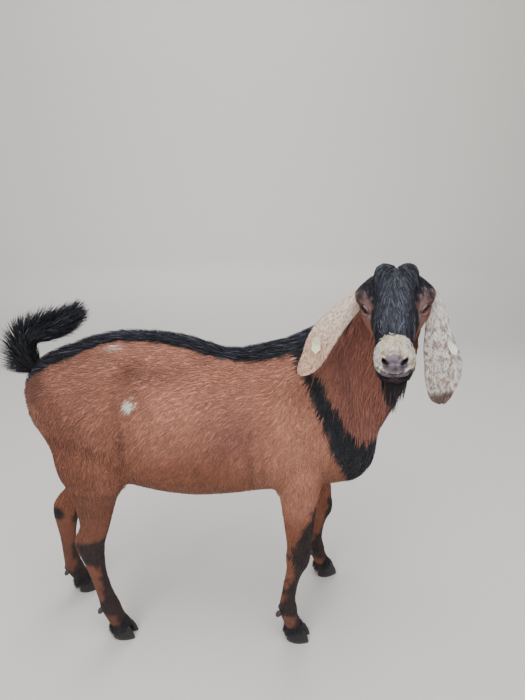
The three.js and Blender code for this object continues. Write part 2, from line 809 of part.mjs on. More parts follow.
const neckNormal = v3(NECK_CUT.bottom.z - NECK_CUT.top.z, 0, NECK_CUT.top.x - NECK_CUT.bottom.x).negate();
add("torso", trim(trunkOnly, NECK_CUT.top, neckNormal.clone().negate()), "coat");
add("neck", trim(trunkOnly, NECK_CUT.top, neckNormal).subtract(headSpace), "coat");
add("head", headShape, "black");

for (const { name, path, toes, bend, fetlock, flesh, inside } of legs) {
  const foot = path[path.length - 1].clone().setZ(0);
  const rim = foot.clone().addScaledVector(heading(toes), 24).setZ(CORONET);
  const rimNormal = heading(toes).multiplyScalar(-HOOF_SLOPE).add(v3(0, 0, 1));
  const limb = trim(body.intersect(inside), rim, rimNormal);
  add(name + "_upper", trim(limb, path[bend], v3(0, 0, 1)), "coat");
  add(name + "_lower", trim(limb, path[bend], v3(0, 0, -1)), "black");
  for (const [place, side] of [["outer", Math.sign(foot.y)], ["inner", -Math.sign(foot.y)]]) {
    add(`${name}_claw_${place}`, solid(claw(foot, toes, side)), "horn");
    add(`${name}_dewclaw_${place}`, dewclaw(path[fetlock], toes, side).subtract(flesh), "horn");
  }
}

for (const [side, sign] of [["left", 1], ["right", -1]]) {
  const eyeball = solid(ball(EYE_RADIUS, v3(EYE.x, sign * EYE.y, EYE.z)));
  add("eye_" + side, eyeball.transform(headMatrix.toArray()), "eye");
  add("ear_" + side, ear(EARS[side]).subtract(headSpace).subtract(tagHole(EARS[side])), "ear");
  add("tag_" + side, tagSolid(EARS[side]), "tag");
}
const tailCore = new Loft(tailStations(), { rings: 12, sides: 8, capLoops: 1 });
const tail = wasm.Manifold.union([tailCore.solid(), ...tailHair(tailCore)]);
add("tail", tail.subtract(trunkSpace), "black");

// The origin is the middle of the goat's bounding box, on the floor.
const box = new THREE.Box3().setFromObject(goat);
const middle = box.getCenter(v3(0, 0, 0));
for (const mesh of goat.children) mesh.geometry.translate(-middle.x, -middle.y, -box.min.z);

export default goat;
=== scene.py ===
import math

import bmesh
import bpy
import numpy as np
from mathutils import Matrix, Vector
from mathutils.bvhtree import BVHTree


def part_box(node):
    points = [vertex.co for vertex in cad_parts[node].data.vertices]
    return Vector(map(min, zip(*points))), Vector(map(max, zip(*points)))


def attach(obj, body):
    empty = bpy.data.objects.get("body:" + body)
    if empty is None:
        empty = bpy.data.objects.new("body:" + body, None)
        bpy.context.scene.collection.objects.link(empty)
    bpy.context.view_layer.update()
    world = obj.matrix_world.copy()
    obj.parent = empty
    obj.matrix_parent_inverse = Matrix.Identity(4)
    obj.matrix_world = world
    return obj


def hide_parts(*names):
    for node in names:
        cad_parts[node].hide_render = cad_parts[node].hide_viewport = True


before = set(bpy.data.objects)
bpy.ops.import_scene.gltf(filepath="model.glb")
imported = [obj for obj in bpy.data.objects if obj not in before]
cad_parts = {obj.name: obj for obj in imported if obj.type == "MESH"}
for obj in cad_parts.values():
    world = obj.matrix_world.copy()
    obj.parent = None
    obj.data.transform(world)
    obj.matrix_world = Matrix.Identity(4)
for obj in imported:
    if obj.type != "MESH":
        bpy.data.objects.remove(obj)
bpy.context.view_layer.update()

# Sizes here are millimetres in the goat's own frame: X forward, Y to its left, Z up, the floor at zero.
# place() turns them into the frame's metres.
MM = 0.001

# The head's frame: X towards the nose, Y to its left, Z towards the forehead, from midway between the eyes.
# Its turns are in degrees.
HEAD_AT = np.array([423.0, -164.0, 951.5])
FACING, DROOP, ROLL = -104.5, 27, 5
HEAD_TURN = np.array(
    Matrix.Rotation(math.radians(FACING), 3, "Z")
    @ Matrix.Rotation(math.radians(DROOP), 3, "Y")
    @ Matrix.Rotation(math.radians(ROLL), 3, "X")
)
EYE_AT = np.array([-2.0, 51.0, 2.0])
EYE_RADIUS = 13.6
GAZE = 58  # degrees between an eye's gaze and the face's axis
GAZE_LIFT = 6


def from_head(points):
    """Points of the head's frame in the goat's own."""
    return np.asarray(points, float) @ HEAD_TURN.T + HEAD_AT


def to_head(points):
    """Points of the goat's own frame in the head's."""
    return (np.asarray(points, float) - HEAD_AT) @ HEAD_TURN


def box_middle(node):
    """The middle of a solid node's box, in metres."""
    low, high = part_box(node)
    return np.array((low + high) / 2)


# The goat's own frame is moved so that its left eye lies where the solid one does.
SHIFT = box_middle("eye_left") / MM - from_head(EYE_AT)


def place(points):
    """Points of the goat's own frame in the row frame's metres."""
    return (np.asarray(points, float) + SHIFT) * MM


# Small helpers on arrays
def unit(v):
    return v / np.maximum(np.linalg.norm(v, axis=-1, keepdims=True), 1e-9)


def smooth(a, b, x):
    """0 at a and beyond it, 1 at b and beyond it, with a smooth step between."""
    t = np.clip((np.asarray(x, float) - a) / (b - a), 0, 1)
    return t * t * (3 - 2 * t)


def near(x, middle, width):
    """1 at the middle, falling smoothly to 0 over a few widths."""
    return np.exp(-(((np.asarray(x, float) - middle) / width) ** 2))


def mixed(a, b, share):
    """Colours a with a share of b."""
    return a + (b - a) * np.asarray(share)[..., None]


def signed_power(x, power):
    return np.sign(x) * np.abs(x) ** power


def catmull(rows, u):
    """A table's values at places u, counted in rows, on smooth curves through the rows."""
    rows = np.asarray(rows, float)
    last = len(rows) - 1
    u = np.clip(u, 0, last)
    i = np.minimum(np.floor(u).astype(int), last - 1)
    t = (u - i)[:, None]
    a, b, c, d = (rows[np.clip(i + k, 0, last)] for k in (-1, 0, 1, 2))
    return 0.5 * (2 * b + (c - a) * t + (2 * a - 5 * b + 4 * c - d) * t**2 + (3 * b - a - 3 * c + d) * t**3)


def curve_at(points, t):
    """Places t, from 0 to 1, on the centripetal curve through a few points."""
    p = np.asarray(points, float)
    p = np.vstack([2 * p[0] - p[1], p, 2 * p[-1] - p[-2]])
    spans = len(p) - 3
    t = np.clip(np.asarray(t, float), 0, 1) * spans
    i = np.minimum(t.astype(int), spans - 1)
    w = (t - i)[:, None]
    a, b, c, d = (p[i + k] for k in range(4))
    ab, bc, cd = (np.maximum(np.linalg.norm(y - x, axis=1, keepdims=True) ** 0.5, 1e-4)
                  for x, y in ((a, b), (b, c), (c, d)))
    start = ((b - a) / ab - (c - a) / (ab + bc) + (c - b) / bc) * bc
    end = ((c - b) / bc - (d - b) / (bc + cd) + (d - c) / cd) * bc
    return b + start * w + (3 * (c - b) - 2 * start - end) * w**2 + (2 * (b - c) + start + end) * w**3


def curve_way(points, t):
    """The way that curve runs at places t."""
    t = np.asarray(t, float)
    return unit(curve_at(points, t + 1e-3) - curve_at(points, t - 1e-3))


def noise(points, size, seed):
    """Smooth noise from 0 to 1, with lumps of a size."""
    p = np.asarray(points, float) / size + 37.7 * seed
    cell = np.floor(p).astype(np.int64)
    f = p - cell
    f = f * f * (3 - 2 * f)
    total = np.zeros(len(p))
    for corner in np.ndindex(2, 2, 2):
        q = (cell + corner).astype(np.uint64)
        h = q[:, 0] * np.uint64(73856093) ^ q[:, 1] * np.uint64(19349663) ^ q[:, 2] * np.uint64(83492791)
        h = (h ^ (h >> np.uint64(13))) * np.uint64(1274126177)
        value = ((h ^ (h >> np.uint64(16))) & np.uint64(0xFFFF)).astype(float) / 0xFFFF
        weight = np.prod(np.where(np.array(corner) == 1, f, 1 - f), axis=1)
        total += value * weight
    return total


# Lofts: closed bodies through cross-sections. A row holds a section's top and bottom points, its half-width,
# how much narrower its top is than its bottom, and how square it is.
class Loft:
    def __init__(self, rows, swells=(), grow=0.0, caps=(10, 10)):
        self.rows = np.array(rows, float)
        self.last = len(self.rows) - 1
        self.swells = swells
        self.grow = grow
        self.caps = caps

    def centre(self, u):
        rows = catmull(self.rows, u)
        return (rows[:, :3] + rows[:, 3:6]) / 2

    def along(self, u):
        return unit(self.centre(np.minimum(u + 0.02, self.last)) - self.centre(np.maximum(u - 0.02, 0)))

    def at(self, u, angle, shrink=1.0, shift=0.0):
        """The surface at places u along the body and angles from its top towards its left side."""
        u, angle = np.broadcast_arrays(np.asarray(u, float), np.asarray(angle, float))
        shape = u.shape
        u, angle = u.ravel(), angle.ravel()
        shrink = np.broadcast_to(shrink, shape).reshape(-1, 1)
        shift = np.broadcast_to(shift, shape).reshape(-1, 1)
        rows = catmull(self.rows, u)
        centre = (rows[:, :3] + rows[:, 3:6]) / 2
        up = rows[:, :3] - centre
        half, egg, full = rows[:, 6:7], rows[:, 7:8], rows[:, 8:9]
        along = self.along(u)
        side = unit(np.cross(up, along))
        c = signed_power(np.cos(angle)[:, None], 2 / full)
        s = signed_power(np.sin(angle)[:, None], 2 / full)
        height = np.linalg.norm(up, axis=1, keepdims=True)
        upright = up / height
        normal = unit(upright * c / height + side * s / half)
        sideways = side * half * (1 - egg * c) * s
        point = centre + upright * height * c * shrink + sideways * shrink + along * shift
        rise = np.full((len(u), 1), self.grow)
        for at, size, swell in self.swells:
            rise += swell * np.exp(-((((point - at) / size) ** 2).sum(1, keepdims=True)))
        point = point + normal * rise * shrink
        return point.reshape(*shape, 3), normal.reshape(*shape, 3)

    def whole(self, u, angle):
        """The surface with its round ends, where u runs from -1 to one more than the last row."""
        u, angle = np.broadcast_arrays(np.asarray(u, float), np.asarray(angle, float))
        shape = u.shape
        u, angle = u.ravel(), angle.ravel()
        inner = np.clip(u, 0, self.last)
        bend = np.clip(np.abs(u - inner), 0, 1) * math.pi / 2
        end = np.sign(u - inner)
        cap = np.where(end > 0, self.caps[1], self.caps[0]) + self.grow
        point, normal = self.at(inner, angle, np.cos(bend), end * np.sin(bend) * cap)
        way = self.along(inner) * (end * np.sin(bend))[:, None]
        normal = unit(normal * np.cos(bend)[:, None] + way)
        return point.reshape(*shape, 3), normal.reshape(*shape, 3)


def both_sides(rows):
    """Swells for the right and left: each row is a place, a size and a height."""
    return [
        (np.array([x, sign * y, z], float), np.array([sx, sy, sz], float), height)
        for x, y, z, sx, sy, sz, height in rows
        for sign in (1, -1)
    ]


def trunk_row(x_top, z_top, x_low, z_low, half, egg, full=2.15):
    return (x_top, 0, z_top, x_low, 0, z_low, half, egg, full)


TRUNK_ROWS = [
    trunk_row(-404, 764, -384, 610, 72, 0.05),
    trunk_row(-372, 792, -330, 540, 104, 0.05),
    trunk_row(-300, 825, -262, 497, 126, 0.1),
    trunk_row(-210, 851, -190, 474, 140, 0.15),
    trunk_row(-112, 853, -105, 452, 154, 0.17),
    trunk_row(-20, 838, -10, 440, 160, 0.18),
    trunk_row(70, 807, 90, 440, 150, 0.17),
    trunk_row(140, 811, 180, 441, 134, 0.16),
    trunk_row(188, 825, 268, 442, 124, 0.14),
    trunk_row(228, 837, 374, 450, 116, 0.1),
    trunk_row(262, 852, 436, 504, 102, 0.06),
    (296, 0, 869, 459, 0, 590, 88, 0.04, 2),
    (333, -4, 893, 490, -8, 662, 77, 0.04, 2),
    (366, -12, 923, 504, -27, 728, 70, 0.04, 2),
    (393, -24, 954, 508, -58, 785, 65, 0.04, 2),
    (414, -42, 984, 500, -88, 838, 60, 0.04, 2),
    (428, -66, 1000, 488, -116, 884, 56, 0.04, 2),
]
TRUNK_SWELLS = both_sides([
    (-190, 95, 800, 45, 45, 40, 13),
    (-395, 62, 750, 38, 32, 38, 12),
    (-290, 130, 650, 90, 80, 90, 12),
    (-165, 140, 720, 60, 60, 75, -14),
    (210, 120, 660, 75, 60, 120, 14),
    (330, 95, 590, 60, 50, 60, 14),
    (-20, 160, 600, 150, 80, 120, 5),
]) + [(np.array([410.0, 0, 495]), np.array([70.0, 50, 60]), 17)]
# Hollows and folds of the skin: before the hip, below the loin, at the flank, behind the elbow and shoulder
TRUNK_FOLDS = both_sides([
    (-138, 100, 795, 34, 40, 26, -8),
    (-70, 112, 780, 70, 40, 20, -4),
    (-168, 140, 640, 15, 60, 60, -9),
    (-140, 150, 600, 22, 60, 60, 3),
    (128, 140, 560, 16, 60, 80, -8),
    (176, 130, 700, 22, 60, 80, -4),
    (-345, 110, 700, 30, 50, 60, -5),
    (-240, 130, 730, 30, 50, 40, -5),
    (330, 78, 700, 20, 50, 110, -5),
])


def face_row(x, top, low, half, egg=0.0, full=2.2):
    return (x, 0, top, x, 0, low, half, egg, full)


SKULL_ROWS = [
    face_row(-110, 4, -34, 24),
    face_row(-102, 20, -46, 40),
    face_row(-82, 42, -66, 62, 0.05),
    face_row(-52, 60, -80, 74, 0.08),
    face_row(-22, 64, -84, 72, 0.08),
    face_row(0, 60, -82, 60, 0.06),
    face_row(26, 53, -76, 50, 0.02),
    face_row(60, 43, -64, 43),
    face_row(92, 31, -62, 39.5),
    face_row(118, 20, -70, 38.5),
    face_row(138, 8, -68, 35, 0.06),
    face_row(148, -3, -55, 27, 0.1),
]
SKULL_SWELLS = both_sides([
    (-24, 62, 17, 26, 22, 20, 17),
    (14, 54, -26, 26, 24, 18, 6),
    (134, 27, 0, 14, 13, 12, 5),
    (122, 30, -26, 24, 16, 12, 4),
    (-58, 62, -52, 32, 24, 30, 7),
    (64, 40, -16, 34, 20, 18, -5),
    (-58, 56, 22, 26, 22, 26, 2),
    (130, 12, -66, 22, 22, 14, 3),
])

# Legs: the points each one runs through, the way its toes point in degrees to the left, and its sizes as
# rows of the place on that path and how far the flesh reaches in front, behind and to each side. A fifth
# value says how square the section is, where it isn't round.
FORE_SIZES = [
    (0.0, 84, 84, 50),
    (0.1, 72, 72, 46),
    (0.2, 54, 54, 39),
    (0.27, 44, 43, 34),
    (0.33, 37, 36, 29),
    (0.37, 33, 32, 27),
    (0.4, 34, 33, 28, 2.3),
    (0.44, 31, 30, 27, 2.3),
    (0.5, 24, 23, 20),
    (0.6, 22, 22, 18),
    (0.7, 22, 23, 19),
    (0.77, 25, 27, 23),
    (0.81, 27, 28, 25),
    (0.87, 24, 25, 23),
    (0.93, 25, 25, 24),
    (1.0, 28, 26, 26, 2.2),
]
HIND_SIZES = [
    (0.0, 100, 92, 50),
    (0.07, 96, 92, 50),
    (0.143, 84, 90, 48),
    (0.214, 67, 76, 43),
    (0.286, 52, 60, 37),
    (0.357, 43, 50, 31),
    (0.429, 37, 41, 27),
    (0.5, 36, 41, 25),
    (0.54, 36, 45, 25),
    (0.571, 35, 47, 25),
    (0.605, 33, 41, 25),
    (0.643, 30, 33, 23),
    (0.714, 24, 26, 19),
    (0.8, 24, 25, 20),
    (0.857, 27, 29, 25),
    (0.93, 25, 27, 24),
    (1.0, 28, 27, 26, 2.2),
]
LEGS = {
    "fore_right": dict(
        path=[(256, -62, 640), (243, -98, 470), (243, -108, 276), (225, -110, 187), (221, -110, 105),
              (243, -105, 22)],
        toes=-14, sizes=FORE_SIZES),
    "fore_left": dict(
        path=[(272, 62, 640), (300, 104, 470), (343, 118, 268), (333, 126, 180), (334, 130, 102),
              (361, 131, 22)],
        toes=8, sizes=FORE_SIZES),
    "hind_right": dict(
        path=[(-276, -60, 690), (-250, -104, 550), (-256, -100, 470), (-270, -90, 380), (-288, -80, 318),
              (-282, -77, 215), (-262, -76, 108), (-238, -70, 22)],
        toes=-10, sizes=HIND_SIZES),
    "hind_left": dict(
        path=[(-290, 60, 690), (-290, 104, 550), (-310, 104, 470), (-352, 92, 380), (-396, 78, 312),
              (-412, 86, 205), (-411, 96, 92), (-384, 106, 22)],
        toes=12, sizes=HIND_SIZES),
}
# The hoof's rim: its height at the toe, its fall towards the heel, how far the toe lies ahead of the foot's
# middle, and how far under the rim the skin ends
CORONET, HOOF_SLOPE, TOE_AHEAD, UNDER_RIM = 38, 0.16, 24, 3


def section_rows(at, ahead, sizes):
    """Loft rows at places, from the ways their fronts face and a table of sizes."""
    front, back, half = (np.array([row[k] for row in sizes])[:, None] for k in (1, 2, 3))
    full = np.array([row[4] if len(row) > 4 else 2 for row in sizes])[:, None]
    return np.hstack([at + ahead * front, at - ahead * back, half, 0 * half, full])


def leg_rows(path, sizes):
    t = np.array([row[0] for row in sizes])
    axis = curve_way(path, t)
    forward = np.array([1.0, 0, 0])
    ahead = unit(forward - axis * (axis @ forward)[:, None])
    return section_rows(curve_at(path, t), ahead, sizes)


def toe_way(leg):
    """The way a leg's toes point."""
    toes = math.radians(LEGS[leg]["toes"])
    return np.array([math.cos(toes), math.sin(toes), 0])


TAIL_PATH = [(-390, 0, 764), (-408, 0, 798), (-404, 0, 838), (-370, 0, 863), (-328, 0, 880), (-296, 0, 898)]
TAIL_SIZES = [(0, 16, 18, 20), (0.2, 17, 18, 19), (0.4, 18, 22, 19), (0.6, 20, 22, 18), (0.8, 17, 17, 14),
              (1, 8, 8, 7)]


def tail_rows():
    t = np.array([row[0] for row in TAIL_SIZES])
    axis = curve_way(TAIL_PATH, t)
    ahead = np.stack([axis[:, 2], 0 * t, -axis[:, 0]], 1)
    return section_rows(curve_at(TAIL_PATH, t), ahead, TAIL_SIZES)


# How far the skin lies under the coat's surface
COAT_DEPTH = {"trunk": 5.0, "leg": 2.5, "head": 2.0, "tail": 4.0}
trunk = Loft(TRUNK_ROWS, TRUNK_SWELLS + TRUNK_FOLDS, -COAT_DEPTH["trunk"], (22, 20))
skull = Loft(SKULL_ROWS, SKULL_SWELLS, -COAT_DEPTH["head"], (7, 9))
tail_core = Loft(tail_rows(), (), -COAT_DEPTH["tail"])
legs = {
    name: Loft(leg_rows(leg["path"], leg["sizes"]), (), -COAT_DEPTH["leg"], (12, 6))
    for name, leg in LEGS.items()
}

# Ears: cupped sheets along hanging curves. A row is a place on the curve, a half-width and the cup's depth.
# outward is the way the outer face looks, and fold is how far one edge is rolled.
EAR_THICKNESS = 3.0
EARS = {
    "left": dict(
        path=[(494, -129, 978), (514, -128, 966), (524, -142, 936), (527, -154, 900), (532, -160, 868),
              (541, -165, 833), (543, -167, 798), (541, -167, 766), (545, -164, 736)],
        outward=(0.12, -0.98, 0.12), fold=2.6,
        rows=[(0, 14, 13), (0.12, 20, 15), (0.25, 25, 16), (0.37, 30, 15), (0.5, 38, 14), (0.62, 43, 12),
              (0.75, 42, 10), (0.86, 33, 8), (0.95, 22, 5), (1, 12, 3)]),
    "right": dict(
        path=[(375, -104, 979), (352, -112, 960), (319, -125, 933), (289, -140, 904), (270, -148, 875),
              (254, -152, 839), (230, -153, 806)],
        outward=(-0.4, -0.86, 0.3),
        rows=[(0, 14, 13), (0.14, 19, 15), (0.28, 24, 16), (0.42, 28, 15), (0.56, 30, 14), (0.7, 29, 12),
              (0.84, 24, 9), (0.94, 17, 6), (1, 10, 3)]),
}


class Ear:
    """The ear's sheet. v runs round its section: 0 to 1 over the outer face, 1 to 2 back over the inner."""

    def __init__(self, path, outward, rows, fold=0.0):
        self.path, self.outward, self.fold = path, np.array(outward, float), fold
        self.table = catmull(rows, np.linspace(0, len(rows) - 1, 200))

    def sheet(self, t, v):
        """Points and normals of the sheet at places t along the ear and v round it."""
        t, v = np.broadcast_arrays(np.asarray(t, float), np.asarray(v, float))
        shape = t.shape
        t, v = t.ravel(), v.ravel() % 2
        half = np.interp(t, self.table[:, 0], self.table[:, 1])
        cup = np.interp(t, self.table[:, 0], self.table[:, 2])
        rounded = np.sqrt(np.clip(1 - ((t - 0.93) / 0.07).clip(0, 1) ** 2, 0, 1))
        half = half * (0.25 + 0.75 * rounded)
        outer = v < 1
        breadth = np.where(outer, 1 - 2 * v, 2 * v - 3)
        edge = np.clip(1 - breadth**2, 0, 1) ** 0.35
        level = np.where(outer, 1, -1) * (EAR_THICKNESS / 2 * edge)
        at, axis = curve_at(self.path, t), curve_way(self.path, t)
        side = unit(np.cross(self.outward, axis))
        out = np.cross(axis, side)
        curl = 2 + 5 * smooth(0.75, 1, t)
        lift = cup * (0.5 - breadth**2) + curl * near(np.abs(breadth), 1, 0.25)
        rolled_edge = smooth(-0.38, -0.6, breadth) - 1.4 * near(breadth, -0.42, 0.08)
        lift = lift + level + self.fold * rolled_edge * smooth(0.38, 0.6, t)
        point = at - side * (half * breadth)[:, None] + out * lift[:, None]
        normal = np.where(outer, 1, -1)[:, None] * unit(out - side * (2 * cup * breadth / half)[:, None])
        return point.reshape(*shape, 3), normal.reshape(*shape, 3)


ears = {side: Ear(**ear) for side, ear in EARS.items()}


# Meshes
def new_object(name, data):
    obj = bpy.data.objects.new(name, data)
    bpy.context.scene.collection.objects.link(obj)
    return obj


def shade_smooth(mesh):
    mesh.polygons.foreach_set("use_smooth", np.ones(len(mesh.polygons), bool))


def smooth_piece(name, bm):
    """An object from a bmesh, smoothly shaded."""
    mesh = bpy.data.meshes.new(name)
    bm.to_mesh(mesh)
    bm.free()
    shade_smooth(mesh)
    return new_object(name, mesh)


def put_points(bm, points):
    """Moves a bmesh's vertices to points."""
    for vert, co in zip(bm.verts, points):
        vert.co = Vector(co)


def rolled(points):
    """A bmesh from a grid rolled into the closed body that an array of loops gives, with closed ends."""
    loops, sides = points.shape[:2]
    bm = bmesh.new()
    bmesh.ops.create_grid(bm, x_segments=loops - 1, y_segments=sides, size=0.5)
    for v in bm.verts:
        k, j = round((v.co.x + 0.5) * (loops - 1)), round((v.co.y + 0.5) * sides)
        v.co = Vector(points[k, j % sides])
    bmesh.ops.remove_doubles(bm, verts=bm.verts, dist=1e-5)
    bmesh.ops.recalc_face_normals(bm, faces=bm.faces)
    return bm


def loft_loops(loft, rings, sides, cap_loops=8):
    """The loops of a loft's surface, with its round ends."""
    end = np.linspace(0, 1, cap_loops + 1)[1:]
    u = np.concatenate([-end[::-1], np.linspace(0, loft.last, rings), loft.last + end])
    angle = np.linspace(0, 2 * math.pi, sides, endpoint=False)
    return loft.whole(u[:, None], angle[None, :])[0]


def put_into(target, bm):
    """Adds a bmesh to another."""
    mesh = bpy.data.meshes.new("part")
    bm.to_mesh(mesh)
    bm.free()
    target.from_mesh(mesh)
    bpy.data.meshes.remove(mesh)


def coordinates(mesh):
    flat = np.zeros(len(mesh.vertices) * 3)
    mesh.vertices.foreach_get("co", flat)
    return flat.reshape(-1, 3)


def vertex_normals(mesh):
    flat = np.zeros(len(mesh.vertices) * 3)
    mesh.vertex_normals.foreach_get("vector", flat)
    return flat.reshape(-1, 3)


# The skin: every fleshy form fused into one surface
VOXEL = 6.5
skin_parts = bmesh.new()
put_into(skin_parts, rolled(place(loft_loops(trunk, rings=110, sides=72))))
put_into(skin_parts, rolled(place(from_head(loft_loops(skull, rings=90, sides=72)))))
put_into(skin_parts, rolled(place(loft_loops(tail_core, rings=40, sides=28))))
for name, loft in legs.items():
    limb = rolled(place(loft_loops(loft, rings=80, sides=36)))
    foot = np.array(LEGS[name]["path"][-1], float) * (1, 1, 0)
    forward = toe_way(name)
    rim = foot + TOE_AHEAD * forward + (0, 0, CORONET - UNDER_RIM)
    rim_normal = Vector(-HOOF_SLOPE * forward) + Vector((0, 0, 1))
    cut = bmesh.ops.bisect_plane(limb, geom=limb.verts[:] + limb.edges[:] + limb.faces[:],
                                 plane_co=Vector(place(rim)), plane_no=rim_normal, clear_inner=True)
    bmesh.ops.holes_fill(limb, edges=[e for e in cut["geom_cut"] if isinstance(e, bmesh.types.BMEdge)])
    put_into(skin_parts, limb)
skin_mesh = bpy.data.meshes.new("skin")
skin_parts.to_mesh(skin_mesh)
skin_parts.free()
skin = new_object("skin", skin_mesh)
remesh = skin.modifiers.new("fuse", "REMESH")
remesh.mode = "VOXEL"
remesh.voxel_size = VOXEL * MM
bpy.context.view_layer.update()
fused = bpy.data.meshes.new_from_object(skin.evaluated_get(bpy.context.evaluated_depsgraph_get()))
skin.modifiers.clear()
skin.data = fused
bpy.data.meshes.remove(skin_mesh)


def relaxed(mesh, points, weight, rounds):
    """Points moved towards the middle of their neighbours, by a weight from 0 to 1 each."""
    edges = np.zeros(len(mesh.edges) * 2, np.int64)
    mesh.edges.foreach_get("vertices", edges)
    a, b = edges.reshape(-1, 2).T
    count = np.bincount(np.concatenate([a, b]), minlength=len(points))[:, None]
    for _ in range(rounds):
        total = np.zeros_like(points)
        for axis in range(3):
            total[:, axis] += np.bincount(a, points[b, axis], len(points))
            total[:, axis] += np.bincount(b, points[a, axis], len(points))
        points = points + (total / np.maximum(count, 1) - points) * weight[:, None]
    return points


# Where the legs, the neck, the head and the tail run into the trunk or each other, the flesh is rounded:
# places, and how far around each
BLENDS = [((256, -80, 500), 120), ((290, 90, 500), 130), ((-270, -80, 560), 140), ((-300, 80, 560), 140),
          ((420, -100, 900), 90), ((-395, 0, 790), 60)]
points = coordinates(skin.data) / MM - SHIFT
weight = sum(near(np.linalg.norm(points - np.array(at), axis=1), 0, reach) for at, reach in BLENDS)
points = relaxed(skin.data, points, 0.25 + 0.7 * np.clip(weight, 0, 1), rounds=8)
skin.data.vertices.foreach_set("co", place(points).ravel())
skin.data.update()


# Finer faces on the head
def refine(mesh, wanted, cuts):
    """Divides the faces whose middles pass a test, given in the head's frame."""
    bm = bmesh.new()
    bm.from_mesh(mesh)
    middles = np.array([f.calc_center_median() for f in bm.faces])
    chosen = wanted(to_head(middles / MM - SHIFT))
    faces = [f for f, keep in zip(bm.faces, chosen) if keep]
    edges = list({e for f in faces for e in f.edges})
    bmesh.ops.subdivide_edges(bm, edges=edges, cuts=cuts, use_grid_fill=True)
    bm.to_mesh(mesh)
    bm.free()


# In the head's frame: the box that holds the head, where the muzzle starts, and how far around an eye the
# lids' creases reach
HEAD_LOW, HEAD_HIGH = (-100, -95, -100), (170, 95, 90)
MUZZLE_START, EYE_REACH = 78, 30


def on_head(h):
    return ((h > HEAD_LOW) & (h < HEAD_HIGH)).all(1)


def mirrored(h):
    """Points of the head brought to its left side."""
    return np.stack([h[:, 0], np.abs(h[:, 1]), h[:, 2]], 1)


def at_features(h):
    """Whether points lie around the eyes or on the muzzle."""
    around = (mirrored(h) - EYE_AT - (8, 6, 0)) / (1, 1, 0.9)
    return (np.linalg.norm(around, axis=1) < EYE_REACH) | ((h[:, 0] > MUZZLE_START) & on_head(h))


refine(skin.data, on_head, cuts=1)
refine(skin.data, at_features, cuts=2)


def tree_of(bm):
    bm.normal_update()
    tree = BVHTree.FromBMesh(bm)
    bm.free()
    return tree


# The finer points that lie close to the head's own smooth surface are moved onto it.
CLOSE_TO_SKULL = 4
head_tree = tree_of(rolled(loft_loops(skull, rings=160, sides=128)))
points = coordinates(skin.data) / MM - SHIFT
h = to_head(points)
for i in np.nonzero(on_head(h))[0]:
    spot, _, _, distance = head_tree.find_nearest(Vector(h[i]))
    if distance < CLOSE_TO_SKULL:
        h[i] = spot
normal = vertex_normals(skin.data) @ HEAD_TURN


# Features of the face, pressed into or raised from that surface, in the head's frame: where the mouth
# starts, its height there and its fall towards the nose, and the middle of the left nostril
MOUTH = dict(start=84, z=-24, fall=0.02)
NOSTRIL = (144, 20, -4)


def eye_axes(sign):
    """An eye's gaze and the ways along and across its opening."""
    turn = Matrix.Rotation(math.radians(sign * GAZE), 3, "Z")
    lift = Matrix.Rotation(math.radians(-GAZE_LIFT), 3, "Y")
    gaze = np.array(turn @ lift @ Vector((1, 0, 0)))
    level = unit(np.cross(np.array([0, 0, 1.0]), gaze))
    return gaze, level, np.cross(gaze, level)


# An eye's opening: its half-length, its height with the upper and lower shares of it, the lids' thickness,
# how far back its middle lies, and its slant
LID = dict(length=12.5, height=8.0, upper=0.72, lower=0.62, thick=2.6, back=2.5, slant=0.02)


def lid_place(h, sign):
    """Distance from an eye's middle, and where in its opening a point lies: below 1 is inside."""
    gaze, level, upward = eye_axes(sign)
    d = h - EYE_AT * (1, sign, 1)
    a, b, c = d @ level * sign, d @ upward, d @ gaze
    arch = LID["height"] * np.where(b > 0, LID["upper"], LID["lower"])
    inside = np.hypot((a - LID["back"]) / LID["length"], (b - LID["slant"] * a) / arch)
    return d, b, c, inside


def shape_eyes(h):
    """Lids with their creases around the eyeballs, and a pit behind each opening."""
    for sign in (1, -1):
        d, b, c, inside = lid_place(h, sign)
        reach = np.linalg.norm(d, axis=1)
        front = (c > -4) & (reach < 40)
        lid = EYE_RADIUS + LID["thick"] * smooth(0.86, 1.12, inside) + 1.6 * near(inside, 1.25, 0.2)
        crease = np.where(b > 0, 1.6, 0.9) * near(inside, 1.75, 0.18)
        fold = 0.8 * (b > 0) * near(inside, 2.15, 0.2)
        lid = lid - crease + fold
        target = np.where(inside < 0.86, EYE_RADIUS - 2.5, lid)
        reach = reach + (target - reach) * front * (1 - smooth(1.3, 2.5, inside))
        h = np.where(front[:, None], EYE_AT * (1, sign, 1) + unit(d) * reach[:, None], h)
    return h


def lip_height(x, side):
    """Where the lips meet, as a height in the head's frame."""
    return MOUTH["z"] - MOUTH["fall"] * (x - MOUTH["start"]) - 4 * near(side, 0, 11) * smooth(132, 148, x)


def nostril_place(side, z):
    """How far points lie along and across the slanted nostril."""
    out, up = side - NOSTRIL[1], z - NOSTRIL[2]
    return out * 0.87 + up * 0.5, up * 0.87 - out * 0.5


